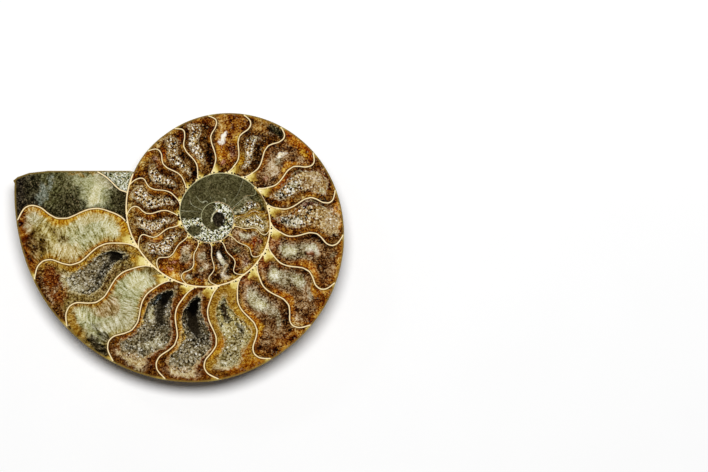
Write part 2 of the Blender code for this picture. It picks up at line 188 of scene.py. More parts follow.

# Patches in the fill, by chamber: s, u, half width in s, half height in u, colour, strength.
# In the hollows of chambers 2, 4, 5 and 6 the darkest patches over the deepest places are painted shade;
# the crystals there take them too.
PATCHES = {
    0: [(.25, .88, .5, .16, "soot_and_shade", .7), (.65, .52, .24, .14, "reed", .9),
        (.22, .52, .28, .16, "ink", .9), (.5, .28, .62, .14, "sage", .95),
        (.22, .3, .2, .07, "chalk", .9), (.56, .27, .22, .06, "chalk", .8),
        (.84, .22, .16, .1, "frost", .7), (.66, .42, .16, .09, "sage", .7),
        (.5, .06, .6, .09, "ink", .9), (.12, .78, .14, .035, "steel", .9),
        (.32, .74, .16, .04, "steel", .95), (.52, .68, .16, .03, "steel", .7),
        (.78, .46, .03, .1, "honey", .6), (.9, .33, .05, .06, "honey", .7)],
    1: [(.5, .38, .42, .3, "sage", .85), (.28, .6, .2, .14, "wheat", .9),
        (.5, .16, .3, .09, "chalk", .8), (.75, .3, .15, .2, "wheat", .7),
        (.62, .5, .28, .03, "chalk", .6), (.34, .84, .28, .12, "khaki", .85),
        (.3, .88, .16, .07, "umber", .6), (.48, .9, .12, .06, "umber", .6),
        (.78, .84, .18, .09, "frost", .8), (.55, .62, .12, .06, "khaki", .8),
        (.7, .68, .14, .08, "khaki", .5), (.3, .05, .34, .04, "gold", .9),
        (.04, .35, .05, .3, "amber", .6)],
    # Painted shade: the soot and black patches over this hollow's deepest place, and the slate beside
    # them.
    2: [(.5, .86, .46, .09, "rust", .95), (.66, .82, .26, .08, "brick", .9),
        (.3, .87, .16, .05, "brick", .8), (.44, .86, .07, .04, "tan", .8),
        (.62, .93, .3, .02, "tan", .6), (.46, .7, .24, .08, "frost", .7),
        (.42, .4, .14, .14, "soot_and_shade", .75), (.55, .21, .26, .12, "black", .97),
        (.3, .55, .09, .1, "slate", .7), (.88, .52, .08, .2, "gold", .7),
        (.88, .22, .09, .12, "tan", .6), (.13, .35, .07, .24, "umber", .6),
        (.08, .8, .1, .1, "khaki", .8), (.24, .07, .24, .05, "gold", .9)],
    3: [(.3, .6, .28, .26, "frost", .75), (.5, .2, .44, .13, "chalk", .8),
        (.7, .58, .2, .18, "tan", .85), (.66, .58, .12, .07, "khaki", .5),
        (.2, .94, .32, .07, "soot_and_shade", .9), (.14, .83, .16, .05, "slate", .8),
        (.38, .8, .12, .03, "slate", .5), (.8, .93, .26, .06, "honey", .9),
        (.74, .81, .2, .05, "chalk", .8), (.94, .36, .04, .3, "amber", .9),
        (.06, .28, .06, .18, "amber", .6), (.12, .05, .22, .05, "gold", .8)],
    # Painted shade: the soot and black patches over this hollow's deepest place, and the slate beside
    # them.
    4: [(.38, .68, .2, .1, "frost", .7), (.28, .5, .1, .14, "slate", .5),
        (.62, .6, .12, .12, "slate", .6), (.46, .34, .2, .24, "soot_and_shade", .95),
        (.5, .18, .26, .12, "black", .95), (.72, .41, .07, .08, "chalk", .7),
        (.69, .27, .06, .07, "blue", .8), (.5, .79, .36, .03, "slate", .6),
        (.5, .89, .4, .07, "sand", .95), (.9, .68, .06, .12, "brick", .9),
        (.9, .42, .06, .14, "gold", .8), (.92, .26, .06, .06, "slate", .8),
        (.93, .84, .1, .08, "bark", .95), (.84, .12, .14, .06, "brick", .8),
        (.09, .6, .08, .3, "brick", .7), (.16, .07, .22, .05, "gold", .8)],
    # Painted shade: the soot and black patches over this hollow's deepest place, and the slate beside
    # them.
    5: [(.52, .36, .27, .27, "soot_and_shade", 1), (.52, .21, .24, .14, "black", 1),
        (.28, .56, .13, .08, "slate", .8), (.7, .56, .14, .16, "ash", .6),
        (.5, .9, .42, .06, "sand", .9), (.88, .5, .07, .28, "gold", .85),
        (.92, .8, .08, .06, "bark", .9), (.09, .5, .07, .22, "brick", .8),
        (.08, .68, .06, .08, "amber", .6), (.16, .07, .22, .05, "gold", .8)],
    # Painted shade: the soot and bark patches over this hollow's deepest place, and the slate beside them.
    6: [(.5, .7, .3, .2, "ash", .6), (.52, .3, .15, .16, "soot_and_shade", .9), (.52, .28, .1, .1, "bark", .6),
        (.36, .52, .09, .09, "slate", .8), (.72, .46, .1, .09, "chalk", .7),
        (.6, .86, .32, .05, "frost", .6), (.86, .66, .14, .11, "amber", .9),
        (.84, .7, .08, .05, "gold", .8), (.5, .97, .6, .05, "rust", .8),
        (.86, .93, .2, .06, "umber", .8), (.18, .8, .12, .1, "amber", .6),
        (.14, .45, .12, .22, "gold", .4)],
    7: [(.45, .38, .27, .25, "ash", .95), (.5, .32, .21, .15, "frost", .95),
        (.48, .42, .12, .06, "chalk", .7), (.36, .66, .13, .14, "ash", .85),
        (.7, .78, .32, .08, "mauve", .9), (.7, .6, .12, .08, "umber", .7),
        (.66, .63, .03, .06, "tan", .7), (.91, .62, .1, .08, "gold", .8),
        (.88, .45, .1, .1, "amber", .7), (.11, .5, .11, .28, "umber", .7),
        (.3, .89, .4, .05, "rust", .8), (.8, .93, .3, .05, "umber", .7),
        (.4, .1, .4, .05, "brick", .8), (.93, .15, .08, .15, "bark", .9)],
    8: [(.45, .42, .31, .27, "ash", .95), (.36, .55, .18, .1, "frost", .9),
        (.48, .26, .27, .11, "frost", .95), (.46, .25, .12, .05, "chalk", .6),
        (.62, .55, .1, .08, "mauve", .8), (.6, .84, .36, .09, "mauve", .95),
        (.28, .78, .06, .1, "ash", .6), (.91, .58, .11, .14, "amber", .85),
        (.88, .74, .1, .05, "brick", .8), (.1, .82, .14, .12, "amber", .8),
        (.09, .5, .09, .2, "umber", .7), (.4, .1, .42, .05, "brick", .8),
        (.94, .2, .07, .2, "umber", .8)],
    9: [(.5, .42, .3, .27, "ash", .95), (.4, .58, .13, .1, "frost", .9),
        (.5, .27, .25, .13, "frost", .95), (.5, .34, .12, .06, "chalk", .6),
        (.58, .58, .09, .07, "brick", .9), (.58, .83, .34, .08, "mauve", .95),
        (.25, .87, .08, .04, "ash", .7), (.86, .6, .15, .2, "amber", .7),
        (.86, .66, .08, .1, "orange", .6), (.08, .62, .07, .1, "bark", .8),
        (.3, .12, .36, .05, "brick", .8)],
    10: [(.46, .84, .34, .1, "sand", .8), (.52, .34, .2, .16, "frost", .8),
         (.44, .22, .14, .06, "slate", .8), (.36, .55, .05, .06, "umber", .7),
         (.5, .13, .1, .03, "pink", .6), (.11, .58, .12, .16, "plum", .95),
         (.16, .35, .12, .09, "amber", .9), (.86, .58, .14, .13, "rust", .95),
         (.88, .86, .16, .09, "bark", .95), (.92, .36, .08, .1, "umber", .8),
         (.18, .93, .16, .05, "orange", .7)],
    11: [(.3, .82, .2, .1, "sand", .9), (.6, .66, .2, .12, "tan", .8),
         (.46, .45, .15, .12, "frost", .9), (.45, .25, .14, .06, "slate", .7),
         (.58, .3, .06, .08, "umber", .7), (.14, .38, .13, .16, "orange", .85),
         (.14, .62, .1, .08, "plum", .9), (.72, .82, .08, .05, "frost", .8),
         (.88, .45, .11, .2, "umber", .8), (.86, .68, .12, .1, "amber", .6),
         (.6, .94, .4, .05, "rust", .8)],
    12: [(.5, .42, .28, .24, "tan", .7), (.47, .61, .06, .11, "snow", 1),
         (.55, .52, .12, .08, "ash", .8), (.5, .9, .5, .08, "amber", .8),
         (.62, .88, .2, .05, "gold", .7), (.86, .6, .12, .15, "amber", .85),
         (.88, .52, .06, .06, "gold", .7), (.11, .35, .11, .15, "rust", .8),
         (.86, .2, .15, .18, "bark", .7), (.55, .22, .14, .05, "pink", .4)],
    13: [(.5, .66, .13, .09, "ash", .8), (.42, .3, .13, .16, "sand", .8),
         (.15, .24, .16, .14, "gold", .85), (.75, .91, .3, .08, "ink", .95),
         (.6, .82, .12, .02, "sand", .7), (.25, .82, .25, .08, "rust", .7),
         (.78, .45, .18, .25, "bark", .85), (.12, .5, .12, .1, "umber", .8)],
    14: [(.46, .6, .06, .1, "snow", 1), (.36, .52, .1, .03, "snow", .7),
         (.3, .35, .26, .15, "amber", .8), (.75, .38, .16, .12, "plum", .8),
         (.1, .63, .1, .05, "bark", .9), (.92, .6, .08, .1, "gold", .7),
         (.4, .1, .4, .06, "umber", .7), (.5, .9, .5, .07, "rust", .8),
         (.38, .18, .1, .04, "pink", .4), (.2, .24, .1, .04, "gold", .6)],
    15: [(.36, .66, .07, .09, "butter", .8), (.8, .4, .18, .35, "bark", .85),
         (.13, .62, .12, .2, "umber", .8), (.8, .89, .2, .06, "rust", .7),
         (.2, .93, .2, .05, "honey", .6), (.16, .28, .1, .08, "amber", .5)],
    16: [(.12, .74, .14, .12, "orange", .7), (.85, .8, .12, .1, "brick", .8),
         (.8, .45, .18, .28, "bark", .7), (.14, .4, .14, .25, "umber", .8),
         (.5, .95, .5, .04, "honey", .7)],
    17: [(.15, .4, .14, .15, "mauve", .7), (.75, .81, .12, .06, "plum", .7),
         (.8, .7, .14, .08, "brick", .7), (.84, .4, .15, .25, "umber", .7),
         (.4, .94, .5, .05, "honey", .7), (.14, .82, .14, .08, "rust", .6)],
    18: [(.09, .5, .09, .3, "umber", .7), (.88, .5, .1, .12, "rust", .8),
         (.66, .3, .1, .08, "khaki", .6), (.3, .95, .5, .05, "honey", .7),
         (.9, .82, .08, .08, "bark", .6)],
    19: [(.86, .65, .12, .15, "rust", .9), (.2, .6, .12, .08, "orange", .6),
         (.6, .3, .14, .1, "umber", .5), (.3, .92, .4, .05, "rust", .6),
         (.11, .35, .11, .15, "umber", .7), (.74, .6, .05, .06, "wheat", .6)],
    20: [(.82, .58, .12, .13, "orange", .9), (.3, .3, .1, .07, "butter", .7),
         (.08, .8, .08, .1, "gold", .5), (.7, .15, .12, .05, "honey", .7),
         (.92, .3, .08, .2, "bark", .7)],
    21: [(.45, .42, .3, .2, "ash", .85), (.5, .28, .26, .14, "sand", .8),
         (.35, .88, .4, .08, "amber", .85), (.45, .83, .1, .03, "pink", .6),
         (.73, .66, .05, .05, "pink", .8), (.82, .52, .14, .12, "amber", .8),
         (.92, .84, .08, .1, "umber", .8), (.12, .3, .1, .15, "honey", .6)],
    22: [(.38, .55, .16, .12, "sand", .7), (.5, .32, .24, .12, "ash", .85),
         (.3, .86, .25, .06, "amber", .8), (.72, .83, .12, .07, "frost", .8),
         (.86, .65, .14, .08, "honey", .8), (.55, .62, .1, .05, "chalk", .6),
         (.9, .35, .1, .2, "umber", .6)],
    23: [(.4, .86, .14, .07, "sand", .9), (.45, .68, .11, .15, "sand", .95),
         (.52, .42, .14, .2, "frost", 1), (.52, .34, .14, .08, "snow", 1),
         (.14, .7, .12, .08, "bark", .7), (.24, .42, .12, .1, "ink", .9),
         (.82, .42, .14, .14, "bark", .9), (.78, .75, .18, .1, "umber", .8),
         (.8, .56, .08, .05, "tan", .7)],
    24: [(.5, .42, .24, .13, "ash", .9), (.62, .4, .1, .05, "chalk", .5),
         (.35, .78, .2, .12, "plum", .7), (.7, .68, .16, .12, "rust", .85),
         (.8, .55, .1, .06, "amber", .6), (.11, .35, .1, .2, "umber", .8),
         (.5, .15, .4, .04, "tan", .5), (.9, .35, .08, .1, "bark", .7)],
    25: [(.5, .4, .26, .16, "frost", .8), (.45, .27, .14, .06, "chalk", .9),
         (.3, .58, .12, .08, "ash", .8), (.6, .66, .28, .08, "orange", .8),
         (.35, .82, .1, .06, "pink", .7), (.7, .82, .12, .05, "tan", .5),
         (.08, .5, .08, .3, "honey", .6), (.88, .66, .1, .1, "amber", .7)],
    26: [(.6, .5, .26, .36, "wheat", .85), (.45, .34, .14, .06, "olive", .85),
         (.4, .55, .1, .05, "umber", .6), (.55, .62, .08, .04, "olive", .6),
         (.9, .8, .05, .1, "brick", .7), (.14, .5, .12, .3, "honey", .6)],
    27: [(.55, .3, .2, .14, "sage", .95), (.35, .3, .1, .08, "moss", .7),
         (.5, .56, .2, .1, "sand", .7), (.14, .6, .14, .2, "ink", .7), (.6, .77, .2, .06, "honey", .7),
         (.3, .92, .4, .06, "moss", .8), (.82, .85, .1, .08, "bark", .7),
         (.55, .1, .12, .04, "chalk", .8)],
}
# A patch fades from this share of its size to that one.
PATCH_FADE = (.5, 1.15)

# Patches that every chamber from FIRST_BROWN to before BROWN_END has: dark bands along its septa, and
# an amber glow where the younger septum bulges.
FIRST_BROWN, BROWN_END = 7, 26
SIDE_PATCHES = [
    (.02, .74, .12, .30, "bark", .65), (1.0, .20, .11, .20, "bark", .5), (.97, .57, .12, .16, "amber", .6),
    (.06, .30, .09, .11, "amber", .5), (.98, .88, .10, .10, "umber", .6), (.5, 1.0, .70, .05, "amber", .6),
]

# How fibrous and how grainy the fill is, by chamber. Others take the values for elsewhere.
FIBROUS = {0: .5, 1: 1.0, 2: .4, 3: 1.0, 4: .3, 5: .3, 6: .35}
GRAINY = {-1: 1.8, 0: .55, 1: .5, 2: .8, 3: .45, **dict.fromkeys((4, 5, 6, 27), .6),
          **dict.fromkeys(range(7, 15), .85)}
FIBROUS_ELSEWHERE, GRAINY_ELSEWHERE = .2, .88
CALCITE_GRAIN, MUD_GRAIN = 2.9, .35
# How much the tone of the brown fills wanders.
UNEVEN = .85

# Beyond the last septum the whorls hold a fine olive mud, and white granular calcite between these
# growth angles.
GRAIN_FROM, MUD_AGAIN_FROM = -541.0, -808.0
# Spots of mud in the grain: the middle and the half axes, in millimetres.
MUD_SPOTS = [((-6.9, -4.0), (2.7, 1.9)), ((-.7, -3.6), (.9, .7))]

# The lines of the section, in millimetres.
SEPTUM_HALF_WIDTH, WALL_HALF_WIDTH, LINE_SOFTNESS = .17, .2, .08
INNER_SHARE = .4
# The septa beyond this one are dull, but the wall of the first whorl, out to this radius, is pale.
LAST_PALE, FIRST_WHORL = 26, 7.6
LINE_POINT_GAP = .3
SAMPLE_GAP = .1
# How far a fillet reaches along a wall at the inner end of each chamber, as a share of its height.
FILLET_REACHES = [(0, .22), (2.5, .22), (4, .16), (5, .22), (8, .28), (13, .3), (16, .2), (27, .18)]
VENTER_FILLET_REACH = .075
FILLET_STRETCH, FILLET_POWER = 1.7, .62
# The veins in the mud: degrees from one to the next, how far they bend, and their size in millimetres.
VEIN_STEP, VEIN_BEND, VEIN_HALF_WIDTH = 19.0, 9.0, .065
# The dark band round each hollow, from HOLLOW_LINE to HOLLOW_BAND, is partly painted shade at its rim.
HOLLOW_LINE, HOLLOW_BAND = 1.12, 1.32
HOLLOW_BAND_STRENGTH = {2: .2, 6: .1, 26: .1, 27: .1}
LINE_END, SEPTUM_POINTS = .985, 120
# The wall's line starts this many degrees before the venter does. The mouth's septum stops short of
# the mouth by a clearance in millimetres.
WALL_OVERLAP, WALL_STEP = 1.5, .5
MOUTH_CLEARANCE = .3
# What keeps the fibres that stand on the walls, and those of each chamber, apart from the others.
WALL_FIBRES, CHAMBER_FIBRES = 5000, 3.7
# A share or a distance that counts as far off.
FAR = 9

# What wanders over the face: the size in millimetres, the strength and the seed of each ripple.
SEED_GAP = 7.3
RIM_WAVES = [(1.9, .6, 3), (.7, .6, 4)]
ELLIPSE_WAVES = [(.8, .12, 5)]
SIDEWAYS_WAVES = [(2.2, .07, 11), (.8, .04, 12)]
UPWARD_WAVES = [(2.4, .035, 13), (.9, .025, 14)]
MUD_WAVES = [(2.5, 9, 21), (.9, 6, 22)]
TONE_WAVES = [(4.2, 1.15, 23), (1.4, .75, 24)]
GROUP_WAVES = [(1.3, 1, 31)]

# The small pores along the walls, in groups at each septum's foot.
PORES_IN_GROUP = 4
PORE_RADII = (.13, .36)
PORE_GAP, PORE_OFFSET = 1.05, .5
# How much the gaps and the offsets differ from pore to pore, as factors.
GAP_SPREAD, OFFSET_SPREAD = (.6, 1.3), (.85, 1.4)
PORE_CORNERS, PORE_DEPTH = 7, .45
# The loops at a pore's rim and floor, and how far the floor reaches, as shares of its radius.
PORE_LOOPS, PORE_FLOOR = (1, .8), .9

# How fine the meshes are, in millimetres.
FACE_POINT_GAP = .44
FACE_POINT_CLEARANCE = .2
HOLLOW_CORNERS, CENTRE_CORNERS = 110, 48
# The shares at which loops run round a hollow in the face, and round its crust.
HOLLOW_LOOPS, CRUST_LOOP = (1, .93), .97
# How often a rim's reach is corrected for its wandering.
RIM_PASSES = 6
# In a lattice of points: the height of a row and how far a point is moved, as shares of the gap.
ROW_HEIGHT, JITTER = .866, .28
RAGGED = .2
CRUST_POINT_GAP = .36
SEED = 11

# The crusts.
CRUST_GAP, CRUST_THICKNESS, CRUST_SKIN, CRUST_ROUGHNESS = .3, .7, .25, .3
BELOW_FACE = .08
CRYSTALS_PER_MM2 = 7.5
CRYSTAL_SIZES = (.16, .40)
# How much larger the crystals are in the larger hollows, by area.
CRYSTAL_GROWTH = [(100, 1.0), (140, 1.15)]
# The tone of the skin that they sit on: darker than the crystals, as painted shade in the gaps between
# them.
SKIN_TONE = -.5
# How much the tone changes from crystal to crystal and from group to group, by the hollow's area in
# square millimetres. Where the fill is darker than DIM, it changes less.
CRYSTAL_TONES = [(40, 1.6), (80, 1.25), (120, 1.0), (130, .6), (150, .55)]
GROUP_TONES = [(80, .8), (130, .4), (150, .4)]
DIM = .06
# The hollows whose crystals are alike near the venter, and from which height u.
CALM_ENDS, CALM = {10: .58, 11: .5}, .5


def eased(x, knots):
    """Smooth curve through the knots that never overshoots them."""
    kx, ky = np.array(knots, float).T
    slope = np.diff(ky) / np.diff(kx)
    product = slope[:-1] * slope[1:]
    inner = np.where(product > 0, 2 * product / (slope[:-1] + slope[1:] + 1e-12), 0)
    tangent = np.concatenate([slope[:1], inner, slope[-1:]])
    x = np.clip(np.asarray(x, float), kx[0], kx[-1])
    i = np.clip(np.searchsorted(kx, x) - 1, 0, len(kx) - 2)
    width = kx[i + 1] - kx[i]
    t = (x - kx[i]) / width
    rise = ky[i] + (ky[i + 1] - ky[i]) * t * t * (3 - 2 * t)
    return rise + width * t * (1 - t) * (tangent[i] * (1 - t) - tangent[i + 1] * t)


def smooth(x, low, high):
    """0 at low and 1 at high, and a smooth step between them."""
    t = np.clip((x - low) / (high - low), 0, 1)
    return t * t * (3 - 2 * t)


def ripple(points, size, seed):
    """Smooth noise from -1 to 1 over the plan, with features of about the given size."""
    return np.array([noise.noise(Vector((x / size, y / size, seed * SEED_GAP))) for x, y in points])


def ripples(points, waves):
    """The sum of some ripples, each with its size, strength and seed."""
    return sum(strength * ripple(points, size, seed) for size, strength, seed in waves)


def venter(theta):
    """Radius of the shell's outer edge about the pole."""
    return VENTER_RADIUS * GROWTH_PER_TURN ** (np.asarray(theta) / 360) * eased(theta, SWELL)


def between_walls(theta, u, wall=venter):
    """Radius at height u between the two walls of a whorl."""
    inner, outer = wall(theta - 360), wall(theta)
    return inner + u * (outer - inner)


def polar(radius, theta):
    """Plan points at growth angles."""
    return np.stack([radius * np.cos(np.radians(theta)), -radius * np.sin(np.radians(theta))], -1)


def direction(points):
    """Growth angle of plan points, as if all were on one turn."""
    return np.degrees(np.arctan2(-points[:, 1], points[:, 0]))


def septum_angle(number, u):
    """Growth angle of a septum at height u. Number 0 lies just behind the sawn mouth."""
    curve = eased(u, SEPTUM_CURVE if number else MOUTH_SEPTUM)
    if number < 1:
        return FIRST_SEPTUM + STEP_AT_MOUTH * (1 - number + curve)
    if number >= FIRST_TURNED:
        curve = np.where(np.asarray(u) < TURNED_FOOT[-1][0], eased(u, TURNED_FOOT), curve)
    step = SEPTUM_STEPS[min(number, len(SEPTUM_STEPS)) - 1]
    return FIRST_SEPTUM - sum(SEPTUM_STEPS[:number - 1]) + step * curve


def shown_venter(theta):
    """Radius of a whorl's wall as the section shows it."""
    return venter(theta) + eased(theta, WALL_SHIFTS)


def shown_septum(number, u):
    """Growth angle of a septum as the section shows it."""
    angle = septum_angle(number, u)
    if not 1 <= number <= len(SEPTUM_SHIFTS):
        return angle
    trough, crest, end = SEPTUM_SHIFTS[number - 1]
    shift = eased(u, list(zip(SHIFT_HEIGHTS, (0, 0, trough, crest, end, end))))
    return angle + np.degrees(shift / between_walls(angle, u))


def chamber_point(chamber, s, u):
    """Plan points inside a chamber."""
    older, younger = septum_angle(chamber + 1, u), septum_angle(chamber, u)
    theta = older + s * (younger - older)
    return polar(between_walls(theta, u), theta)


def locate(points, wall=venter, septum=septum_angle):
    """Growth angle, height u, chamber and s of plan points."""
    radius = np.hypot(*points.T)
    theta = direction(points)
    theta = np.where(theta < VENTER_START, theta + 360, theta)
    for _ in range(WHORLS):
        theta = np.where(radius < wall(theta - 360), theta - 360, theta)
    inner, outer = wall(theta - 360), wall(theta)
    u = np.clip((radius - inner) / (outer - inner), 0, 1)
    chamber = np.full(len(points), -1)
    older, younger = septum(0, u), septum(-1, u)
    for number in range(LAST_SEPTUM + 1):
        angle = septum(number, u)
        reached = theta < angle
        chamber[reached] = number
        younger = np.where(reached, angle, younger)
        older = np.where(reached, septum(number + 1, u), older)
    s = np.clip((theta - older) / (younger - older), 0, 1)
    return theta, u, chamber, s


def outline():
    """Edge of the sawn face, counter-clockwise."""
    count = round((VENTER_END - VENTER_START) / OUTLINE_STEP)
    angles = np.linspace(VENTER_START, VENTER_END, count + 1)
    edge = list(polar(venter(angles), angles)) + [np.array(point) for point in MOUTH_CORNER]
    meeting = MOUTH_Y / math.tan(math.radians(-VENTER_START)) - 2 * STEP_HALF_WIDTH
    count = round((meeting - MOUTH_CORNER[-1][0]) / MOUTH_STEP)
    edge += [np.array((x, MOUTH_Y)) for x in np.linspace(MOUTH_CORNER[-1][0], meeting, count + 1)[1:]]
    return np.array(edge[::-1])


def inside(points, edge):
    """Which plan points are inside a closed line."""
    crossings = np.zeros(len(points), int)
    for (ax, ay), (bx, by) in zip(edge, np.roll(edge, -1, axis=0)):
        if ay != by:
            spans = (ay > points[:, 1]) != (by > points[:, 1])
            crossings += spans & (points[:, 0] < ax + (points[:, 1] - ay) / (by - ay) * (bx - ax))
    return crossings % 2 == 1


def evenly(line, gap):
    """The same line with points at even distances."""
    length = np.concatenate([[0], np.cumsum(np.hypot(*np.diff(line, axis=0).T))])
    at = np.linspace(0, length[-1], max(2, round(length[-1] / gap) + 1))
    return np.stack([np.interp(at, length, line[:, k]) for k in (0, 1)], -1)


def wall_line():
    """The wall between the whorls, from the mouth inwards."""
    angles = np.arange(VENTER_START - WALL_OVERLAP, INNERMOST_ANGLE, -WALL_STEP)
    return polar(shown_venter(angles), angles)


def septum_lines():
    """The plan line of each septum, from its foot to the venter."""
    lines = []
    for number in range(LAST_SEPTUM + 1):
        u = np.linspace(0, LINE_END, SEPTUM_POINTS)
        theta = shown_septum(number, u)
        line = polar(between_walls(theta, u, shown_venter), theta)
        lines.append(line[line[:, 1] < MOUTH_Y - MOUTH_CLEARANCE] if number == 0 else line)
    return lines


def plan_tree(points):
    """Finds the nearest of some plan points."""
    tree = kdtree.KDTree(len(points))
    for k, (x, y) in enumerate(points):
        tree.insert((x, y, 0), k)
    tree.balance()
    return tree


def unit_circle(corners):
    """Corners of a circle of radius 1, counter-clockwise."""
    turn = np.linspace(0, 2 * np.pi, corners, endpoint=False)
    return np.stack([np.cos(turn), np.sin(turn)], -1)


class Lines:
    """Finds the nearest of some plan lines."""

    def __init__(self, lines):
        self.samples, self.tangents, self.along = [], [], []
        start = 0
        for line in lines:
            even = evenly(line, SAMPLE_GAP)
            self.samples.append(even)
            run = np.gradient(even, axis=0)
            self.tangents.append(run / np.hypot(*run.T)[:, None])
            self.along.append(start + SAMPLE_GAP * np.arange(len(even)))
            start += 100 + SAMPLE_GAP * len(even)
        self.samples, self.tangents = np.concatenate(self.samples), np.concatenate(self.tangents)
        self.along = np.concatenate(self.along)
        self.tree = plan_tree(self.samples)

    def nearest(self, points):
        """Distance to the nearest line, and the length along it, at each point."""
        found = np.array([self.tree.find((x, y, 0))[1] for x, y in points])
        offset = points - self.samples[found]
        along = np.clip((offset * self.tangents[found]).sum(1), -SAMPLE_GAP, SAMPLE_GAP)
        distance = np.hypot(*(offset - along[:, None] * self.tangents[found]).T)
        return distance, self.along[found] + along


# ---- Hollows ----
def hollow_frame(rows, u):
    """Middle and half width in s of a hollow at height u."""
    left, right = eased(u, [row[:2] for row in rows]), eased(u, [row[::2] for row in rows])
    return (left + right) / 2, (right - left) / 2


def raggedness(points):
    """How much the rims of the hollows wander."""
    return 1 + RAGGED * ripples(points, RIM_WAVES)


def hollow_share(hollow, points):
    """Where plan points lie in a hollow: 0 at its middle, 1 at its rim and more outside it."""
    _, u, chamber, s = locate(points)
    rows = hollow[1]
    low, high = rows[0][0], rows[-1][0]
    middle, half = hollow_frame(rows, u)
    along, across = np.abs((2 * u - low - high) / (high - low)), np.abs((s - middle) / half)
    share = (along ** ROUNDNESS + across ** ROUNDNESS) ** (1 / ROUNDNESS)
    return np.where(chamber == hollow[0], share * raggedness(points), FAR), u


def hollow_depth(hollow, points):
    """Depth of a hollow's floor below the sawn face, and the share of each point."""
    share, u = hollow_share(hollow, points)
    shallow, deep, deepest_at = hollow[2:]
    floor = shallow + (deep - shallow) * np.exp(-((u - deepest_at) / DEEP_SPREAD) ** 2)
    return floor * eased(share, HOLLOW_DEPTHS), share


def hollow_rim(hollow, level, corners):
    """Counter-clockwise plan line round a hollow where its share has the given level."""
    chamber, rows = hollow[:2]
    low, high = rows[0][0], rows[-1][0]
    circle = unit_circle(corners)
    along, across = (np.sign(circle) * np.abs(circle) ** (2 / ROUNDNESS)).T
    reach = np.full(corners, float(level))
    for _ in range(RIM_PASSES):
        u = (low + high) / 2 + (high - low) / 2 * along * reach
        middle, half = hollow_frame(rows, u)
        points = chamber_point(chamber, middle - half * across * reach, u)
        reach = .5 * reach + .5 * level / raggedness(points)
    return points


def ellipse_share(points, middle, axes):
    """Where plan points lie in an ellipse with a wandering rim: 0 at its middle and 1 at its rim."""
    offset = (points - np.array(middle)) / np.array(axes)
    return np.hypot(*offset.T) * (1 + ripples(points, ELLIPSE_WAVES))


def centre_share(points):
    """Where plan points lie in the pit at the first whorl."""
    return ellipse_share(points, CENTRE_AT, CENTRE_RADII)


def pores(rng):
    """Centres and radii of the small pores along the walls."""
    made = []
    for number in range(1, LAST_SEPTUM):
        foot = shown_septum(number, 0.0)
        wall = shown_venter(foot - 360)
        for k in range(PORES_IN_GROUP):
            theta = foot + math.degrees(PORE_GAP * (k + rng.uniform(*GAP_SPREAD)) / wall)
            offset = PORE_OFFSET * rng.uniform(*OFFSET_SPREAD)
            centre = polar(shown_venter(theta - 360) + offset, theta)
            made.append((centre, rng.uniform(*PORE_RADII)))
    return made


# ---- Painting ----
def linear(name):
    """A named colour in linear light."""
    value = np.array(COLOURS[name]) / 255
    return np.where(value <= .04045, value / 12.92, ((value + .055) / 1.055) ** 2.4)


def blend(colour, name, amount):
    """Colours moved towards a named one."""
    return colour + (linear(name) - colour) * np.clip(amount, 0, 1)[:, None]


def thinner(colour, amount):
    """Colours as thinner calcite shows them, or as thicker calcite does where the amount is below 0.

    Light fades with thickness to a power of the colour, so thick calcite is browner and thin paler."""
    return colour ** np.exp(-amount)[:, None]


def paint_chambers(points, colour, u, chamber, s, druse):
    """Lays the fill of every chamber, or what its crystals are like, then the patches on it."""
    wander_s, wander_u = s + ripples(points, SIDEWAYS_WAVES), u + ripples(points, UPWARD_WAVES)
    for number, (core, older, younger, inner, outer) in FILLS.items():
        here = chamber == number
        at_s, at_u = wander_s[here], wander_u[here]
        if druse:
            fill = np.tile(linear(DRUSE.get(number, core)), (here.sum(), 1))
        else:
            fill = np.tile(linear(core), (here.sum(), 1))
            fill = blend(fill, older, 1 - smooth(at_s, .06, SIDE_REACH))
            fill = blend(fill, younger, smooth(at_s, 1 - SIDE_REACH, .94))
            fill = blend(fill, inner, 1 - smooth(at_u, .04, END_REACH))
            fill = blend(fill, outer, smooth(at_u, 1 - END_REACH, .95))
        patches = PATCHES.get(number, [])
        if FIRST_BROWN <= number < BROWN_END and not druse:
            patches = SIDE_PATCHES + patches
        for ps, pu, width, height, name, strength in patches:
            away = np.hypot((at_s - ps) / width, (at_u - pu) / height)
            fill = blend(fill, name, strength * (1 - smooth(away, *PATCH_FADE)))
        colour[here] = fill
    return colour


def look_up(table, keys, other):
    """The table's value for each key."""
    values = np.full(len(keys), float(other))
    for key, value in table.items():
        values[keys == key] = value
    return values


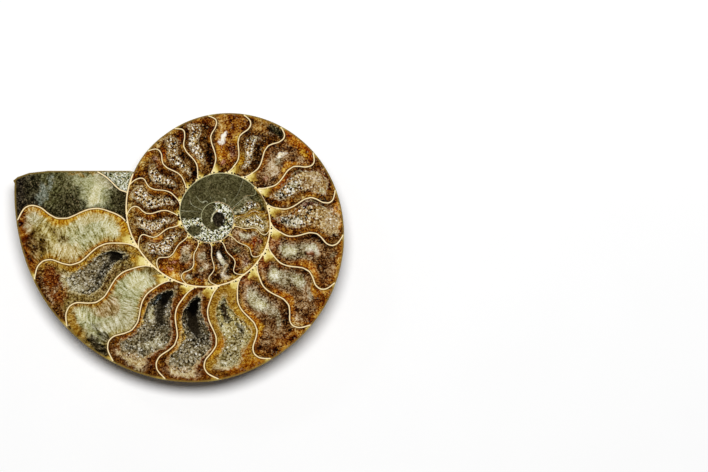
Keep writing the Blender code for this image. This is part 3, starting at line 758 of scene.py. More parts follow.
def paint(points, druse=False):
    """Fill colour at plan points, and how fibrous, grainy and muddy the fill is."""
    theta, u, chamber, s = locate(points, shown_venter, shown_septum)
    base = np.tile(linear("olive"), (len(points), 1))
    colour = paint_chambers(points, base, u, chamber, s, druse)
    wander = theta + ripples(points, MUD_WAVES)
    mud = (chamber > len(SEPTUM_STEPS)).astype(float)
    grain = mud * smooth(-wander, -GRAIN_FROM - 4, -GRAIN_FROM + 4)
    grain *= 1 - smooth(-wander, -MUD_AGAIN_FROM - 6, -MUD_AGAIN_FROM + 6)
    for middle, axes in MUD_SPOTS:
        grain *= smooth(ellipse_share(points, middle, axes), .75, 1.05)
    uneven = UNEVEN * ripples(points, TONE_WAVES)
    colour = thinner(colour, np.where((chamber < FIRST_BROWN) | druse, 0, uneven))
    colour = blend(colour, "sage", grain)
    share = centre_share(points)
    # Painted shade: the pit at the first whorl is painted dark all over.
    pit = 1 - smooth(share, .95, 1.1)
    colour = blend(colour, "soot_and_shade", pit)
    facing = (points - np.array(CENTRE_AT)) @ np.array(FIRST_WALL_SIDE) > 1.2
    first_wall = np.where(facing, smooth(share, 1, 1.1) * (1 - smooth(share, 1.25, FIRST_WALL)), 0)
    colour = blend(colour, "chalk", first_wall)
    fibrous = look_up(FIBROUS, chamber, FIBROUS_ELSEWHERE) * (1 - mud)
    beyond = MUD_GRAIN + (CALCITE_GRAIN - MUD_GRAIN) * grain
    grainy = np.where(mud > 0, beyond, look_up(GRAINY, chamber, GRAINY_ELSEWHERE))
    return colour, fibrous, grainy, mud * (1 - grain) * (1 - pit) * (1 - first_wall)


def hollow_outlines(points, colour):
    """A dark band round the hollows, partly their own dark edge and partly painted shade at the rim, and
    the pale line where the fill meets their crystals.
    """
    for hollow in HOLLOWS:
        share, _ = hollow_share(hollow, points)
        # Partly painted shade: the dark band just outside each hollow's rim.
        band = smooth(share, HOLLOW_LINE, HOLLOW_LINE + .06)
        band *= 1 - smooth(share, HOLLOW_BAND, HOLLOW_BAND + .3)
        colour = blend(colour, "umber", HOLLOW_BAND_STRENGTH.get(hollow[0], .75) * band)
        colour = blend(colour, "wheat", .6 * (1 - smooth(share, 1.02, HOLLOW_LINE)))
    return colour


# ---- Meshes ----
def triangulate(border, lines, loops, points):
    """Plan points and triangles inside the border, with the lines and loops kept as edges."""
    corners, edges = [], []
    for chain, closed in [(border, 1)] + [(loop, 1) for loop in loops] + [(line, 0) for line in lines]:
        first = len(corners)
        corners += [Vector(point) for point in chain]
        edges += [(first + k, first + (k + 1) % len(chain)) for k in range(len(chain) - 1 + closed)]
    corners += [Vector(point) for point in points]
    found, _, faces, sources, _, _ = delaunay_2d_cdt(corners, edges, [range(len(border))], 1, 1e-7)
    order = np.full(len(found), -1)
    for k, source in enumerate(sources):
        if source and min(source) < len(border):
            order[k] = min(source)
    rank = np.where(order >= 0, order, len(border) + np.arange(len(found)))
    sequence = np.argsort(rank, kind="stable")
    place = np.argsort(sequence)
    return np.array(found)[sequence], place[np.array(faces)]


def scattered(edge, gap, rng):
    """Points about a gap apart inside a closed line, in no visible order."""
    low, high = edge.min(0), edge.max(0)
    rows = np.arange(low[1], high[1], gap * ROW_HEIGHT)
    xs, ys = np.meshgrid(np.arange(low[0], high[0], gap), rows)
    xs = xs + gap / 2 * (np.arange(len(rows)) % 2)[:, None]
    points = np.stack([xs.ravel(), ys.ravel()], -1)
    points += rng.uniform(-JITTER, JITTER, points.shape) * gap
    return points[inside(points, edge)]


def clear_of(points, others, clearance):
    """The points that keep their distance from all of the others."""
    tree = plan_tree(others)
    far = np.array([tree.find((x, y, 0))[2] > clearance for x, y in points])
    return points[far]


def closed_solid(top, top_faces, bottom, bottom_faces, rim):
    """Points and faces of one closed mesh from two sheets whose first points are the same rim."""
    shift = len(top)
    k = np.arange(rim)
    after = (k + 1) % rim
    sides = np.concatenate([np.stack([after, k, k + shift], -1),
                            np.stack([after, k + shift, after + shift], -1)])
    faces = np.concatenate([top_faces, bottom_faces[:, ::-1] + shift, sides])
    return np.concatenate([top, bottom]), faces


def add_object(name, data):
    """A new object in the scene."""
    obj = bpy.data.objects.new(name, data)
    bpy.context.scene.collection.objects.link(obj)
    return obj


def make_object(name, points, faces, place, materials):
    """A mesh object from points in millimetres about the pole."""
    mesh = bpy.data.meshes.new(name)
    mesh.from_pydata(((points + place) * MM).tolist(), [], faces.tolist())
    for material in materials:
        mesh.materials.append(material)
    return add_object(name, mesh)


def give(mesh, name, kind, values):
    """Stores values on a mesh's points, for its material."""
    field = {"FLOAT": "value", "FLOAT_VECTOR": "vector", "FLOAT_COLOR": "color"}[kind]
    values = np.asarray(values, np.float32)
    if kind == "FLOAT_COLOR" and values.shape[1] == 3:
        values = np.concatenate([values, np.ones((len(values), 1), np.float32)], 1)
    mesh.attributes.new(name, kind, "POINT").data.foreach_set(field, values.ravel())


# ---- The fossil ----
def face_depth(points, pore_list):
    """How far the section's surface lies below the sawn face."""
    depth = np.zeros(len(points))
    for hollow in HOLLOWS:
        found, share = hollow_depth(hollow, points)
        depth = np.where(share < .999, found, depth)
    share = centre_share(points)
    depth = np.where(share < 1, CENTRE_DEPTH * eased(share, HOLLOW_DEPTHS), depth)
    for centre, radius in pore_list:
        away = np.hypot(*(points - centre).T)
        depth[away < radius * PORE_FLOOR] = PORE_DEPTH
    return depth


def pore_loops(pore_list):
    """The rims and floors of the pores."""
    ring = unit_circle(PORE_CORNERS)
    return [centre + radius * share * ring for centre, radius in pore_list for share in PORE_LOOPS]


def centre_rim():
    """Plan line round the pit at the first whorl."""
    ring = unit_circle(CENTRE_CORNERS)
    reach = np.ones(CENTRE_CORNERS)
    for _ in range(RIM_PASSES):
        points = np.array(CENTRE_AT) + np.array(CENTRE_RADII) * ring * reach[:, None]
        reach = .5 * reach + .5 * reach / centre_share(points)
    return points


def face_sheet(edge, pore_list, rng):
    """The section: points, faces, and which faces are in pores."""
    lines = [evenly(line, LINE_POINT_GAP) for line in [wall_line()] + septum_lines()]
    loops = [hollow_rim(hollow, level, HOLLOW_CORNERS) for hollow in HOLLOWS for level in HOLLOW_LOOPS]
    loops += [centre_rim()] + pore_loops(pore_list)
    fixed = np.concatenate([edge] + lines + loops)
    points = clear_of(scattered(edge, FACE_POINT_GAP, rng), fixed, FACE_POINT_CLEARANCE)
    plan, faces = triangulate(edge, lines, loops, points)
    depth = face_depth(plan, pore_list)
    centres = plan[faces].mean(1)
    in_pore = np.zeros(len(faces), bool)
    for centre, radius in pore_list:
        in_pore |= np.hypot(*(centres - centre).T) < radius
    return plan, -depth, faces, in_pore


def outer_angle(points, nudge=0.0):
    """Growth angle of plan points, as if all were on the outermost turn."""
    return VENTER_START + (direction(points) - VENTER_START + nudge) % 360


def whorl_depth(points):
    """How far the back lies below the sawn face. Points right on its border count as inside it."""
    radius = np.hypot(*points.T) - NUDGE
    theta = outer_angle(points, NUDGE)
    depth = np.zeros(len(points))
    for turn in range(TURNS_ON_BACK):
        share = radius / venter(theta - 360 * turn)
        found = eased(share, PROFILE) * eased(theta - 360 * turn, BREADTH_GROWTH)
        depth = np.where(share < 1, np.maximum(depth, found), depth)
    return EDGE_THICKNESS + SHOULDER_BREADTH * depth


# Ribs on the back: one for each RIB_STEP degrees, swept forward towards the venter.
RIB_STEP, RIB_DEPTH, RIB_SWEEP = 7.5, .3, 26.0
RIB_BEND_AT = .6
# Rows of points on each turn of the back: the share of the venter's radius where they start, and
# their number. They all end at the same share.
BACK_ROWS = [(.4, 44), (.4, 30), (.02, 16)]
BACK_ROWS_END = .99
BACK_COLUMN_STEP, STEP_POINT_GAP = 1.25, .6
BACK_CLEARANCE = .35
# Within this share of the venter's radius the whorl before shows.
UMBILICAL_SHARE = .42
# Degrees of growth from suture to suture.
SUTURE_STEP = 20


def back_shares(points):
    """Growth angle and share of the venter's radius on the whorl that shows at the back."""
    radius = np.hypot(*points.T)
    theta = outer_angle(points)
    for _ in range(TURNS_ON_BACK - 1):
        theta = np.where(radius < UMBILICAL_SHARE * venter(theta), theta - 360, theta)
    return theta, radius / venter(theta)


def rib_phase(theta, share):
    """Which rib a place on the back belongs to."""
    beyond = share - RIB_BEND_AT
    return (theta - RIB_SWEEP * beyond ** 2 * np.sign(beyond)) / RIB_STEP


def back_sheet(edge):
    """The natural back, with low ribs cut into it."""
    lines = []
    for side in (-1, 1):
        radius = np.arange(STEP_FROM, venter(VENTER_START) - STEP_HALF_WIDTH, STEP_POINT_GAP)
        lines.append(polar(radius, VENTER_START + np.degrees(side * STEP_HALF_WIDTH / radius)))
    points = []
    angles = np.arange(VENTER_START + BACK_COLUMN_STEP, VENTER_START + 360, BACK_COLUMN_STEP)
    for turn, (start, rows) in enumerate(BACK_ROWS):
        for share in np.linspace(start, BACK_ROWS_END, rows):
            points.append(polar(share * venter(angles - 360 * turn), angles))
    points = np.concatenate(points)
    points = clear_of(points[inside(points, edge)], np.concatenate([edge] + lines), BACK_CLEARANCE)
    plan, faces = triangulate(edge, lines, [], points)
    depth = whorl_depth(plan)
    theta, share = back_shares(plan)
    wave = .5 - .5 * np.cos(2 * np.pi * rib_phase(theta, share))
    fade = smooth(share, .42, .55) * (1 - smooth(share, .9, .97)) * smooth(depth, 2, 5)
    return plan, -depth + RIB_DEPTH * wave * fade, faces


# The body's materials, in this order.
SECTION, BACK, PORE, SIDE = range(4)


def ammonite_body(place, edge, materials, rng):
    """The fossil: one closed mesh of its polished section and its natural back."""
    pore_list = pores(rng)
    plan, heights, faces, in_pore = face_sheet(edge, pore_list, rng)
    back, back_heights, back_faces = back_sheet(edge)
    top, bottom = np.column_stack([plan, heights]), np.column_stack([back, back_heights])
    points, all_faces = closed_solid(top, faces, bottom, back_faces, len(edge))
    body = make_object("ammonite_half_body", points, all_faces, place, materials)
    kinds = np.full(len(all_faces), BACK)
    kinds[:len(faces)] = np.where(in_pore, PORE, SECTION)
    kinds[len(faces) + len(back_faces):] = SIDE
    body.data.polygons.foreach_set("material_index", kinds)
    body.data.polygons.foreach_set("use_smooth", kinds == BACK)
    give_section_values(body.data, points[:, :2], len(plan), len(edge))
    # On the cut side: how far down from the sawn face, and how far up from the back.
    side = np.zeros((len(points), 3))
    side[:len(edge), 1] = side[len(plan):len(plan) + len(edge), 0] = -back_heights[:len(edge)]
    give(body.data, "side", "FLOAT_VECTOR", side)
    return body


def vein_place(theta, u, radius):
    """Where face points lie between the veins in the mud, how far apart these are, and where they end."""
    along = theta + VEIN_BEND * np.sin(2.6 * u + 1.1 * np.sin(theta * .11))
    return np.stack([along / VEIN_STEP, np.radians(VEIN_STEP) * radius, theta > GRAIN_FROM], -1)


def line_values(radius, height, chamber, to_septum, to_wall):
    """Distances from the septa and the walls, and their size: thinner and duller on the inner whorls."""
    size = INNER_SHARE + (1 - INNER_SHARE) * smooth(height, 4, 16)
    septum_size = INNER_SHARE + (1 - INNER_SHARE) * smooth(height, 4, 26)
    beyond = np.where(radius < FIRST_WHORL, INNER_SHARE + .08, INNER_SHARE - .06)
    size = np.where(chamber > LAST_PALE, beyond, size)
    return np.stack([to_septum / np.minimum(size, septum_size), to_wall / size, size], -1)


def fibre_values(chamber, septum, wall):
    """Places along and across the fibres, which stand on the nearest line, and the chamber's own."""
    along = np.where(septum[0] < wall[0], septum[1], wall[1] + WALL_FIBRES)
    return np.stack([along, np.minimum(septum[0], wall[0]), chamber * CHAMBER_FIBRES], -1)


def fillet_share(chamber, s, u, height, to_septum, to_wall):
    """How far in the pale corner at a septum's foot face points lie: 0 outside it, 1 at its tip."""
    corner = np.where((chamber >= FIRST_TURNED) & (u < .5), s > .5, s < .5)
    corner &= (chamber <= len(SEPTUM_STEPS)) & (chamber > 0)
    reach = height * np.where(u < .5, eased(chamber, FILLET_REACHES), VENTER_FILLET_REACH)
    away = (to_septum / FILLET_STRETCH / reach) ** FILLET_POWER + (to_wall / reach) ** FILLET_POWER
    return np.clip(np.where(corner, 1 - away, 0), 0, 1)


def give_face(mesh, name, kind, values, elsewhere=0):
    """Stores values of the face's points, and one value for all of the back's."""
    back = np.full((len(mesh.vertices) - len(values), *values.shape[1:]), elsewhere)
    give(mesh, name, kind, np.concatenate([values, back]))


def give_section_values(mesh, plan, count, rim):
    """Stores on the body what its materials need. The cut side takes the section's colours at its rim."""
    face, back = plan[:count], plan[count:]
    theta, u, chamber, s = locate(face, shown_venter, shown_septum)
    radius, height = np.hypot(*face.T), shown_venter(theta) - shown_venter(theta - 360)
    colour, fibrous, grainy, mud = paint(face)
    colour = hollow_outlines(face, colour)
    septum, wall, edge = [Lines(k).nearest(face) for k in (septum_lines(), [wall_line()], [outline()])]
    fillet = fillet_share(chamber, s, u, height, septum[0], np.minimum(wall[0], edge[0]))
    back_colour = np.concatenate([colour[:rim], np.tile(linear("umber"), (len(back) - rim, 1))])
    give(mesh, "fill", "FLOAT_COLOR", np.concatenate([colour, back_colour]))
    lines = line_values(radius, height, chamber, septum[0], wall[0])
    give_face(mesh, "lines", "FLOAT_VECTOR", lines, FAR)
    give_face(mesh, "edge", "FLOAT", edge[0], FAR)
    give_face(mesh, "vein", "FLOAT_VECTOR", vein_place(theta, u, radius))
    give_face(mesh, "fibre", "FLOAT_VECTOR", fibre_values(chamber, septum, wall))
    give_face(mesh, "masks", "FLOAT_COLOR", np.stack([fibrous, grainy, fillet, mud], -1))
    back_theta, share = back_shares(back)
    growth = np.stack([rib_phase(back_theta, share), share, back_theta / SUTURE_STEP], -1)
    give(mesh, "growth", "FLOAT_VECTOR", np.concatenate([np.zeros((count, 3)), growth]))


# ---- Crystals ----
RHOMB = np.array([(x, y, z) for x in (-1, 1) for y in (-1, 1) for z in (-1, 1)], float)
RHOMB_FACES = np.array([(0, 1, 3), (0, 3, 2), (4, 6, 7), (4, 7, 5), (0, 4, 5), (0, 5, 1),
                        (2, 3, 7), (2, 7, 6), (0, 2, 6), (0, 6, 4), (1, 5, 7), (1, 7, 3)])
RHOMB_STRETCH = .35
# The half edge of a rhomb, before it is drawn out, is its size over this.
RHOMB_SCALE = 1.5


def rhomb():
    """A calcite rhomb: a cube drawn out along its diagonal."""
    axis = np.ones(3) / math.sqrt(3)
    return RHOMB + RHOMB_STRETCH * (RHOMB @ axis)[:, None] * axis


def crystals(centres, sizes, rng):
    """Points and faces of many rhombs, each turned its own way."""
    turns = np.array([Euler(rng.uniform(0, 2 * math.pi, 3)).to_matrix() for _ in centres])
    points = np.einsum("nij,kj->nki", turns, rhomb()) * sizes[:, None, None] / RHOMB_SCALE
    points += centres[:, None, :]
    over = np.maximum(points[:, :, 2].max(1) + BELOW_FACE, 0)
    points[:, :, 2] -= over[:, None]
    faces = RHOMB_FACES[None] + len(RHOMB) * np.arange(len(centres))[:, None, None]
    return points.reshape(-1, 3), faces.reshape(-1, 3)


def crust_height(hollow, points):
    """Height of a crust's own surface at plan points."""
    depth, share = hollow_depth(hollow, points)
    return np.minimum(CRUST_GAP + CRUST_THICKNESS * (1 - np.minimum(share, 1) ** 4) - depth, -BELOW_FACE)


def crystal_tones(seats, area, rng):
    """How pale each crystal is: pale and dark ones lie in loose groups."""
    own = eased(area, CRYSTAL_TONES) * rng.standard_normal(len(seats))
    return own + eased(area, GROUP_TONES) * ripples(seats, GROUP_WAVES)


def crust_skin(hollow, border, rng):
    """The thin skin that the crystals sit on: points and faces of a closed mesh."""
    points = clear_of(scattered(border, CRUST_POINT_GAP, rng), border, CRUST_POINT_GAP / 2)
    plan, faces = triangulate(border, [], [], points)
    height = crust_height(hollow, plan)
    height[len(border):] -= rng.uniform(0, CRUST_ROUGHNESS, len(plan) - len(border))
    top = np.column_stack([plan, height])
    bottom = np.column_stack([plan, height - CRUST_SKIN])
    return closed_solid(top, faces, bottom, faces, len(border))


def liveliness(hollow, points, colour):
    """How much tones change from crystal to crystal: less in dark fill, such as the painted shade in the
    deep hollows, and at a calm end.
    """
    _, u, _, _ = locate(points)
    calm_from = CALM_ENDS.get(hollow[0], 1)
    return smooth(colour[:, 1], 0, DIM) * (1 - CALM * smooth(u, calm_from, calm_from + .15))


def crystal_crust(hollow, place, material, rng):
    """The crust of crystals in one hollow, as one mesh."""
    border = hollow_rim(hollow, CRUST_LOOP, HOLLOW_CORNERS)
    skin, skin_faces = crust_skin(hollow, border, rng)
    area = np.abs(np.cross(border, np.roll(border, -1, 0)).sum()) / 2
    seats = scattered(border, 1 / math.sqrt(CRYSTALS_PER_MM2 * ROW_HEIGHT), rng)
    centres = np.column_stack([seats, crust_height(hollow, seats)])
    sizes = rng.uniform(*CRYSTAL_SIZES, len(seats)) * eased(area, CRYSTAL_GROWTH)
    loose, loose_faces = crystals(centres, sizes, rng)
    obj = make_object(f"druse_{hollow[0]:02d}", np.concatenate([skin, loose]),
                      np.concatenate([skin_faces, loose_faces + len(skin)]), place, [material])
    loose_tones = np.repeat(crystal_tones(seats, area, rng), len(RHOMB))
    # The skin's darker tone is painted shade between the crystals.
    tones = np.concatenate([np.full(len(skin), SKIN_TONE), loose_tones])
    plan = np.concatenate([skin[:, :2], np.repeat(seats, len(RHOMB), axis=0)])
    colour = paint(plan, druse=True)[0]
    lively = liveliness(hollow, plan, colour)
    give(obj.data, "fill", "FLOAT_COLOR", thinner(colour, tones * lively))
    give(obj.data, "lively", "FLOAT", lively)
    return obj


# ---- Materials ----
SPECULAR = .25
# The sutures on the back: lobes, then finer and finer frills, as waves across a whorl and their size.
SUTURE_WAVES = [(6.5, .2), (19.0, .085), (53.0, .035)]
# The noise value that keeps the mean brightness.
NOISE_MIDDLE = .53


class Nodes:
    """A material and its nodes."""

    def __init__(self, name):
        self.material = bpy.data.materials.new(name)
        self.material.use_nodes = True
        self.tree = self.material.node_tree
        self.shader = self.tree.nodes["Principled BSDF"]

    def feed(self, socket, value):
        """Links or sets an input."""
        if isinstance(value, bpy.types.NodeSocket):
            self.tree.links.new(value, socket)
        else:
            socket.default_value = value

    def add(self, kind, inputs, **settings):
        """A node with its settings and inputs."""
        made = self.tree.nodes.new(kind)
        for key, value in settings.items():
            setattr(made, key, value)
        for key, value in inputs.items():
            self.feed(made.inputs[key], value)
        return made

    def attribute(self, name, output):
        """What the mesh stores under a name."""
        return self.add("ShaderNodeAttribute", {}, attribute_name=name).outputs[output]

    def parts(self, vector):
        """The three parts of a vector."""
        return self.add("ShaderNodeSeparateXYZ", {0: vector}).outputs

    def math(self, operation, *values):
        """Arithmetic on numbers."""
        return self.add("ShaderNodeMath", dict(enumerate(values)), operation=operation).outputs[0]

    def step(self, value, low, high, to_low=0.0, to_high=1.0):
        """A smooth step between two values."""
        inputs = {"Value": value, "From Min": low, "From Max": high, "To Min": to_low, "To Max": to_high}
        return self.add("ShaderNodeMapRange", inputs, interpolation_type="SMOOTHSTEP").outputs[0]

    def mix(self, factor, first, second, blend_type="MIX"):
        """A mix of two colours."""
        made = self.add("ShaderNodeMix", {}, data_type="RGBA", blend_type=blend_type)
        for socket, value in ((made.inputs[0], factor), (made.inputs[6], first), (made.inputs[7], second)):
            self.feed(socket, value)
        return made.outputs[2]

    def over(self, colour, name, factor):
        """A named colour laid over another."""
        return self.mix(factor, colour, rgba(name))

    def swing(self, noise_value, amount):
        """Noise as a change either way, by half of the amount at most."""
        return self.math("MULTIPLY", self.math("SUBTRACT", noise_value, .5), amount)

    def scaled(self, vector, factors):
        """A vector scaled along each axis."""
        inputs = {0: vector, 1: factors}
        return self.add("ShaderNodeVectorMath", inputs, operation="MULTIPLY").outputs[0]

    def noise(self, vector, scale, detail=2.0, roughness=.5):
        """Smooth noise from 0 to 1. The scale is in features per metre, for a place on the object."""
        inputs = {"Vector": vector, "Scale": scale, "Detail": detail, "Roughness": roughness}
        return self.add("ShaderNodeTexNoise", inputs).outputs[0]

    def cells(self, vector, scale):
        """A random value for each cell."""
        made = self.add("ShaderNodeTexVoronoi", {"Vector": vector, "Scale": scale})
        return self.add("ShaderNodeSeparateColor", {0: made.outputs["Color"]}).outputs[0]

    def line(self, distance, half_width):
        """1 on a line and 0 beside it."""
        return self.step(distance, half_width + LINE_SOFTNESS, half_width - LINE_SOFTNESS)

    def contrast(self, colour, noise_value, strength, power):
        """A colour made darker and lighter by noise, as by thicker and thinner calcite."""
        amount = self.math("MULTIPLY", self.math("SUBTRACT", NOISE_MIDDLE, noise_value), strength)
        gamma = self.math("EXPONENT", self.math("MULTIPLY", amount, power))
        return self.add("ShaderNodeGamma", {"Color": colour, "Gamma": gamma}).outputs[0]

    def place(self):
        """Position on the object."""
        return self.add("ShaderNodeTexCoord", {}).outputs["Object"]

    def finish(self, colour, roughness, height, depth_mm):
        """Feeds the shader."""
        bump = self.add("ShaderNodeBump", {"Height": height, "Distance": depth_mm * MM, "Strength": 1.0})
        self.feed(self.shader.inputs["Base Color"], colour)
        self.feed(self.shader.inputs["Roughness"], roughness)
        self.feed(self.shader.inputs["Normal"], bump.outputs[0])
        self.shader.inputs["Specular IOR Level"].default_value = SPECULAR
        return self.material


def rgba(name):
    """A named colour for a socket."""
    return (*linear(name).tolist(), 1)


def section_material():
    """The polished calcite of the section, with its septa and walls."""
    n = Nodes("polished_section")
    where = n.place()
    masks = n.add("ShaderNodeSeparateColor", {0: n.attribute("masks", "Color")})
    fibrous, grainy, fillet = masks.outputs
    mud = n.attribute("masks", "Alpha")
    septum, wall, size = n.parts(n.attribute("lines", "Vector"))
    edge = n.attribute("edge", "Fac")
    earth = mud_colour(n, where, n.attribute("vein", "Vector"))
    colour = n.mix(mud, n.attribute("fill", "Color"), earth)
    fine = n.noise(where, 2000.0, 2.0, .6)
    colour = grained(n, where, colour, fine, fibrous, grainy)
    colour = n.contrast(fillet_colour(n, where, colour, fillet), fine, fillet, 2.0)
    colour = line_colours(n, where, colour, (septum, wall, size, edge, fillet, mud))
    return n.finish(colour, .16, n.noise(where, 1400.0, 2.0), .004)


def grained(n, where, colour, fine, fibrous, grainy):
    """The fill's colour with streaks along its fibres, grain, and pale flecks."""
    fibre = n.scaled(n.attribute("fibre", "Vector"), (2.3, .35, 1))
    colour = n.contrast(colour, n.noise(fibre, 1.0, 3.0, .6), fibrous, 4.2)
    colour = n.contrast(colour, n.noise(where, 520.0, 3.0, .6), grainy, 1.0)
    colour = n.contrast(colour, fine, grainy, 1.45)
    colour = n.contrast(colour, n.cells(where, 2700.0), grainy, 1.6)
    flecks = n.math("MULTIPLY", grainy, n.step(n.cells(where, 2100.0), .95, .98))
    return n.over(colour, "sand", n.math("MULTIPLY", flecks, .4))


def mud_colour(n, where, vein):
    """The hardened mud of the early whorls, with fine pale veins across it."""
    tone = n.mix(n.step(n.noise(where, 520.0, 5.0, .7), .15, .95), rgba("ink"), rgba("reed"))
    phase, apart, veined = n.parts(vein)
    shown = n.math("MULTIPLY", n.step(n.noise(where, 160.0, 2.0), .4, .56), veined)
    phase = n.math("ADD", phase, n.math("MULTIPLY", n.noise(where, 140.0, 3.0), .6))
    away = n.math("MULTIPLY", n.math("PINGPONG", phase, .5), apart)
    lines = n.math("MULTIPLY", n.step(away, VEIN_HALF_WIDTH + .06, VEIN_HALF_WIDTH - .04), shown)
    return n.over(tone, "lichen", n.math("MULTIPLY", lines, .65))


def fillet_colour(n, where, colour, fillet):
    """The pale calcite in the corners at the septa's feet: honey at its edge, then flax, then cream."""
    uneven = n.swing(n.noise(where, 420.0, 4.0, .65), .9)
    share = n.math("ADD", fillet, n.math("MULTIPLY", uneven, n.step(fillet, 0.0, .15)))
    colour = n.over(colour, "honey", n.step(share, .02, .18, 0.0, .85))
    colour = n.over(colour, "flax", n.step(share, .16, .32))
    colour = n.over(colour, "butter", n.step(share, .26, .44))
    return n.over(colour, "cream", n.step(share, .42, .66))


def line_colours(n, where, colour, values):
    """The septa and the whorl walls, the dark seams beside them, and the shell at the outer edge."""
    septum, wall, size, edge, fillet, mud = values
    wobble = n.swing(n.noise(where, 700.0), .12)
    septum, wall = n.math("ADD", septum, wobble), n.math("ADD", wall, wobble)
    plain = n.math("MULTIPLY", n.step(fillet, .3, .05), n.step(mud, .6, .2))
    seam = n.math("MULTIPLY", n.step(n.math("MINIMUM", septum, wall), .7, .3), plain)
    colour = n.over(colour, "bark", n.math("MULTIPLY", seam, .6))
    pale = n.mix(n.step(size, .3, .4), rgba("khaki"), rgba("tan"))
    pale = n.over(pale, "ivory", n.step(size, .42, .8))
    pale = n.over(pale, "sage", mud)
    rim = n.math("ADD", edge, n.math("MULTIPLY", wobble, 3.0))
    colour = n.over(colour, "khaki", n.math("MULTIPLY", n.step(rim, .8, .2), .8))
    colour = n.mix(n.line(septum, SEPTUM_HALF_WIDTH), colour, pale)
    return n.mix(n.line(wall, WALL_HALF_WIDTH), colour, pale)


def crystal_material():
    """Calcite crystals."""
    n = Nodes("calcite_druse")
    where = n.place()
    tint = n.noise(where, 1500.0, 2.0)
    lively = n.attribute("lively", "Fac")
    colour = n.contrast(n.attribute("fill", "Color"), tint, lively, 2.2)
    return n.finish(colour, n.step(tint, .3, .7, .3, .5), n.noise(where, 3000.0, 2.0), .03)


def shell_material():
    """The polished outside: chambers of tan and brown calcite, frilled sutures, ribs with painted shade in
    their valleys, and growth lines.
    """
    n = Nodes("fossil_shell")
    where = n.place()
    growth = n.attribute("growth", "Vector")
    rib, share, angle = n.parts(growth)
    along = frilled(n, where, share, angle)
    marbling = n.noise(where, 95.0, 6.0, .68)
    colour = marbled(n, where, along, marbling)
    # Painted shade: bark in the valleys cut between the ribs.
    valley = n.step(n.math("COSINE", n.math("MULTIPLY", rib, 2 * math.pi)), 0.0, -1.0, 0.0, .35)
    colour = n.over(colour, "bark", valley)
    # Darker towards the umbilical seam.
    colour = n.over(colour, "bark", n.step(share, .52, .43, 0.0, .6))
    lines = n.noise(n.scaled(growth, (11.0, 1.2, 0)), 1.0, 4.0, .6)
    colour = n.contrast(colour, lines, 1.0, 2.2)
    colour = n.contrast(colour, n.noise(where, 1100.0, 3.0, .6), 1.0, 1.6)
    suture = n.math("ABSOLUTE", n.math("SUBTRACT", n.math("FRACT", along), .5))
    colour = n.over(colour, "bark", n.step(suture, .445, .468, 0.0, .95))
    relief = n.math("ADD", lines, n.math("MULTIPLY", n.noise(where, 600.0, 3.0), .3))
    return n.finish(colour, n.step(marbling, .3, .7, .22, .4), relief, .1)


def frilled(n, where, share, angle):
    """Growth on the back, bent so that its whole numbers run along frilled sutures."""
    along = n.math("ADD", angle, n.math("MULTIPLY", n.noise(where, 200.0, 3.0), .3))
    for waves, size in SUTURE_WAVES:
        wave = n.math("SINE", n.math("MULTIPLY", share, 2 * math.pi * waves))
        along = n.math("ADD", along, n.math("MULTIPLY", wave, size))
    return along


def marbled(n, where, along, marbling):
    """Tan and brown calcite that differs from chamber to chamber, with rusty and mossy places."""
    number = n.math("FLOOR", along)
    chamber = n.add("ShaderNodeTexWhiteNoise", {"W": number}, noise_dimensions="1D").outputs[0]
    tone = n.math("ADD", marbling, n.swing(chamber, .22))
    colour = n.mix(n.step(tone, .34, .54), rgba("umber"), rgba("khaki"))
    colour = n.over(colour, "sand", n.step(tone, .46, .66))
    colour = n.over(colour, "rust", n.step(n.noise(where, 150.0, 5.0, .7), .53, .65, 0.0, .7))
    return n.over(colour, "moss", n.step(n.noise(where, 110.0, 5.0, .7), .42, .32, 0.0, .6))


def side_material():
    """The cut side: the shell's edge below, then what fills the last chamber."""
    n = Nodes("sawn_mouth")
    where = n.place()
    down, rise, _ = n.parts(n.attribute("side", "Vector"))
    cloud = n.noise(where, 75.0, 5.0, .62)
    stone = n.mix(n.step(n.noise(where, 380.0, 5.0, .7), .3, .7), rgba("ink"), rgba("reed"))
    stone = n.over(stone, "lichen", n.step(cloud, .5, .6))
    stone = n.over(stone, "honey", n.step(n.noise(where, 120.0, 4.0, .6), .54, .66, 0.0, .8))
    colour = n.mix(n.step(down, .5, 3.0), n.attribute("fill", "Color"), stone)
    fine = n.noise(where, 1500.0, 3.0, .65)
    colour = n.contrast(colour, fine, 1.0, 2.4)
    colour = n.contrast(colour, n.cells(where, 1900.0), 1.0, .9)
    height = n.math("ADD", rise, n.swing(n.noise(where, 350.0, 3.0), .5))
    colour = n.over(colour, "bark", n.step(height, 1.5, .9, 0.0, .7))
    colour = n.over(colour, "tan", n.step(height, .85, .65))
    return n.finish(colour, .3, fine, .02)


def pore_material():
    """Painted shade inside the pores: black with bark."""
    n = Nodes("pore")
    tone = n.noise(n.place(), 1800.0)
    return n.finish(n.mix(tone, rgba("black"), rgba("bark")), .6, tone, .02)


# ---- Stage ----
PICTURE_CENTRE = (46.26, -5.78)
PICTURE_WIDTH = 235.3
CAMERA_HEIGHT = 1400.0
SENSOR = 36.0
# Metres. The lights: name, location, size, power, and whether they leave a highlight.
FAR_CLIP, FLOOR_REACH = 10, 3
LIGHTS = [("key", (.06, .34, 1.57), (.78, .46), 26.4, False),
          ("side", (-.55, .55, .55), (.12, .12), .25, True)]
WORLD_STRENGTH = .06


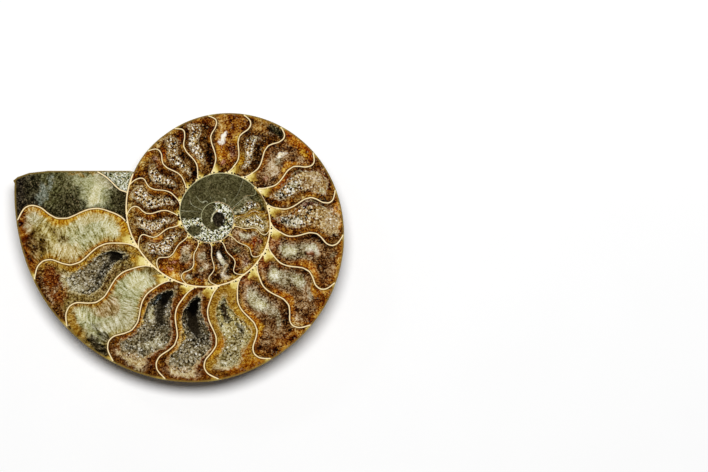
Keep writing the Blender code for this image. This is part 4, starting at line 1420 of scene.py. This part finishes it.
def camera(place):
    """Straight above the face, with the half at the left of the picture."""
    data = bpy.data.cameras.new("camera")
    data.sensor_width = SENSOR
    data.lens = SENSOR * CAMERA_HEIGHT / PICTURE_WIDTH
    data.clip_end = FAR_CLIP
    obj = add_object("camera", data)
    obj.location = (Vector((*PICTURE_CENTRE, CAMERA_HEIGHT)) + Vector(place)) * MM
    bpy.context.scene.camera = obj


def area_light(name, location, size, power, glossy):
    """A soft light that looks at the object. One that isn't glossy leaves no highlight."""
    data = bpy.data.lights.new(name, "AREA")
    data.shape = "ELLIPSE"
    data.size, data.size_y = size
    data.energy = power
    obj = add_object(name, data)
    obj.location = location
    obj.rotation_euler = (-Vector(location)).to_track_quat("-Z", "Y").to_euler()
    obj.visible_glossy = glossy


def floor():
    """A plain pale floor."""
    n = Nodes("pale_floor")
    grain = n.noise(n.place(), 30.0)
    n.finish(n.mix(grain, (.96, .96, .96, 1), (.98, .98, .98, 1)), .8, grain, .001)
    mesh = bpy.data.meshes.new("floor")
    corners = [(x * FLOOR_REACH, y * FLOOR_REACH, 0) for x, y in ((-1, -1), (1, -1), (1, 1), (-1, 1))]
    mesh.from_pydata(corners, [], [(0, 1, 2, 3)])
    mesh.materials.append(n.material)
    obj = add_object("floor", mesh)


def stage(place):
    """Camera, lights, floor and world."""
    camera(place)
    floor()
    for light in LIGHTS:
        area_light(*light)
    world = bpy.data.worlds.new("studio")
    world.use_nodes = True
    background = world.node_tree.nodes["Background"]
    background.inputs["Color"].default_value = (1, 1, 1, 1)
    background.inputs["Strength"].default_value = WORLD_STRENGTH
    bpy.context.scene.world = world
    bpy.context.scene.view_settings.view_transform = "Standard"


def main():
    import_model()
    low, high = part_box("ammonite_half")
    edge = outline()
    middle = (edge.min(0) + edge.max(0)) / 2
    place = np.array([(low.x + high.x) / 2 / MM - middle[0], (low.y + high.y) / 2 / MM - middle[1],
                      high.z / MM])
    rng = np.random.default_rng(SEED)
    materials = [section_material(), shell_material(), pore_material(), side_material()]
    body = ammonite_body(place, edge, materials, rng)
    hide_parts("ammonite_half")
    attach(body, "root")
    crystal = crystal_material()
    for hollow in HOLLOWS:
        crust = crystal_crust(hollow, place, crystal, rng)
        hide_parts(f"crystal_crust_{hollow[0]:02d}")
        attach(crust, "root")
    stage(place)


main()
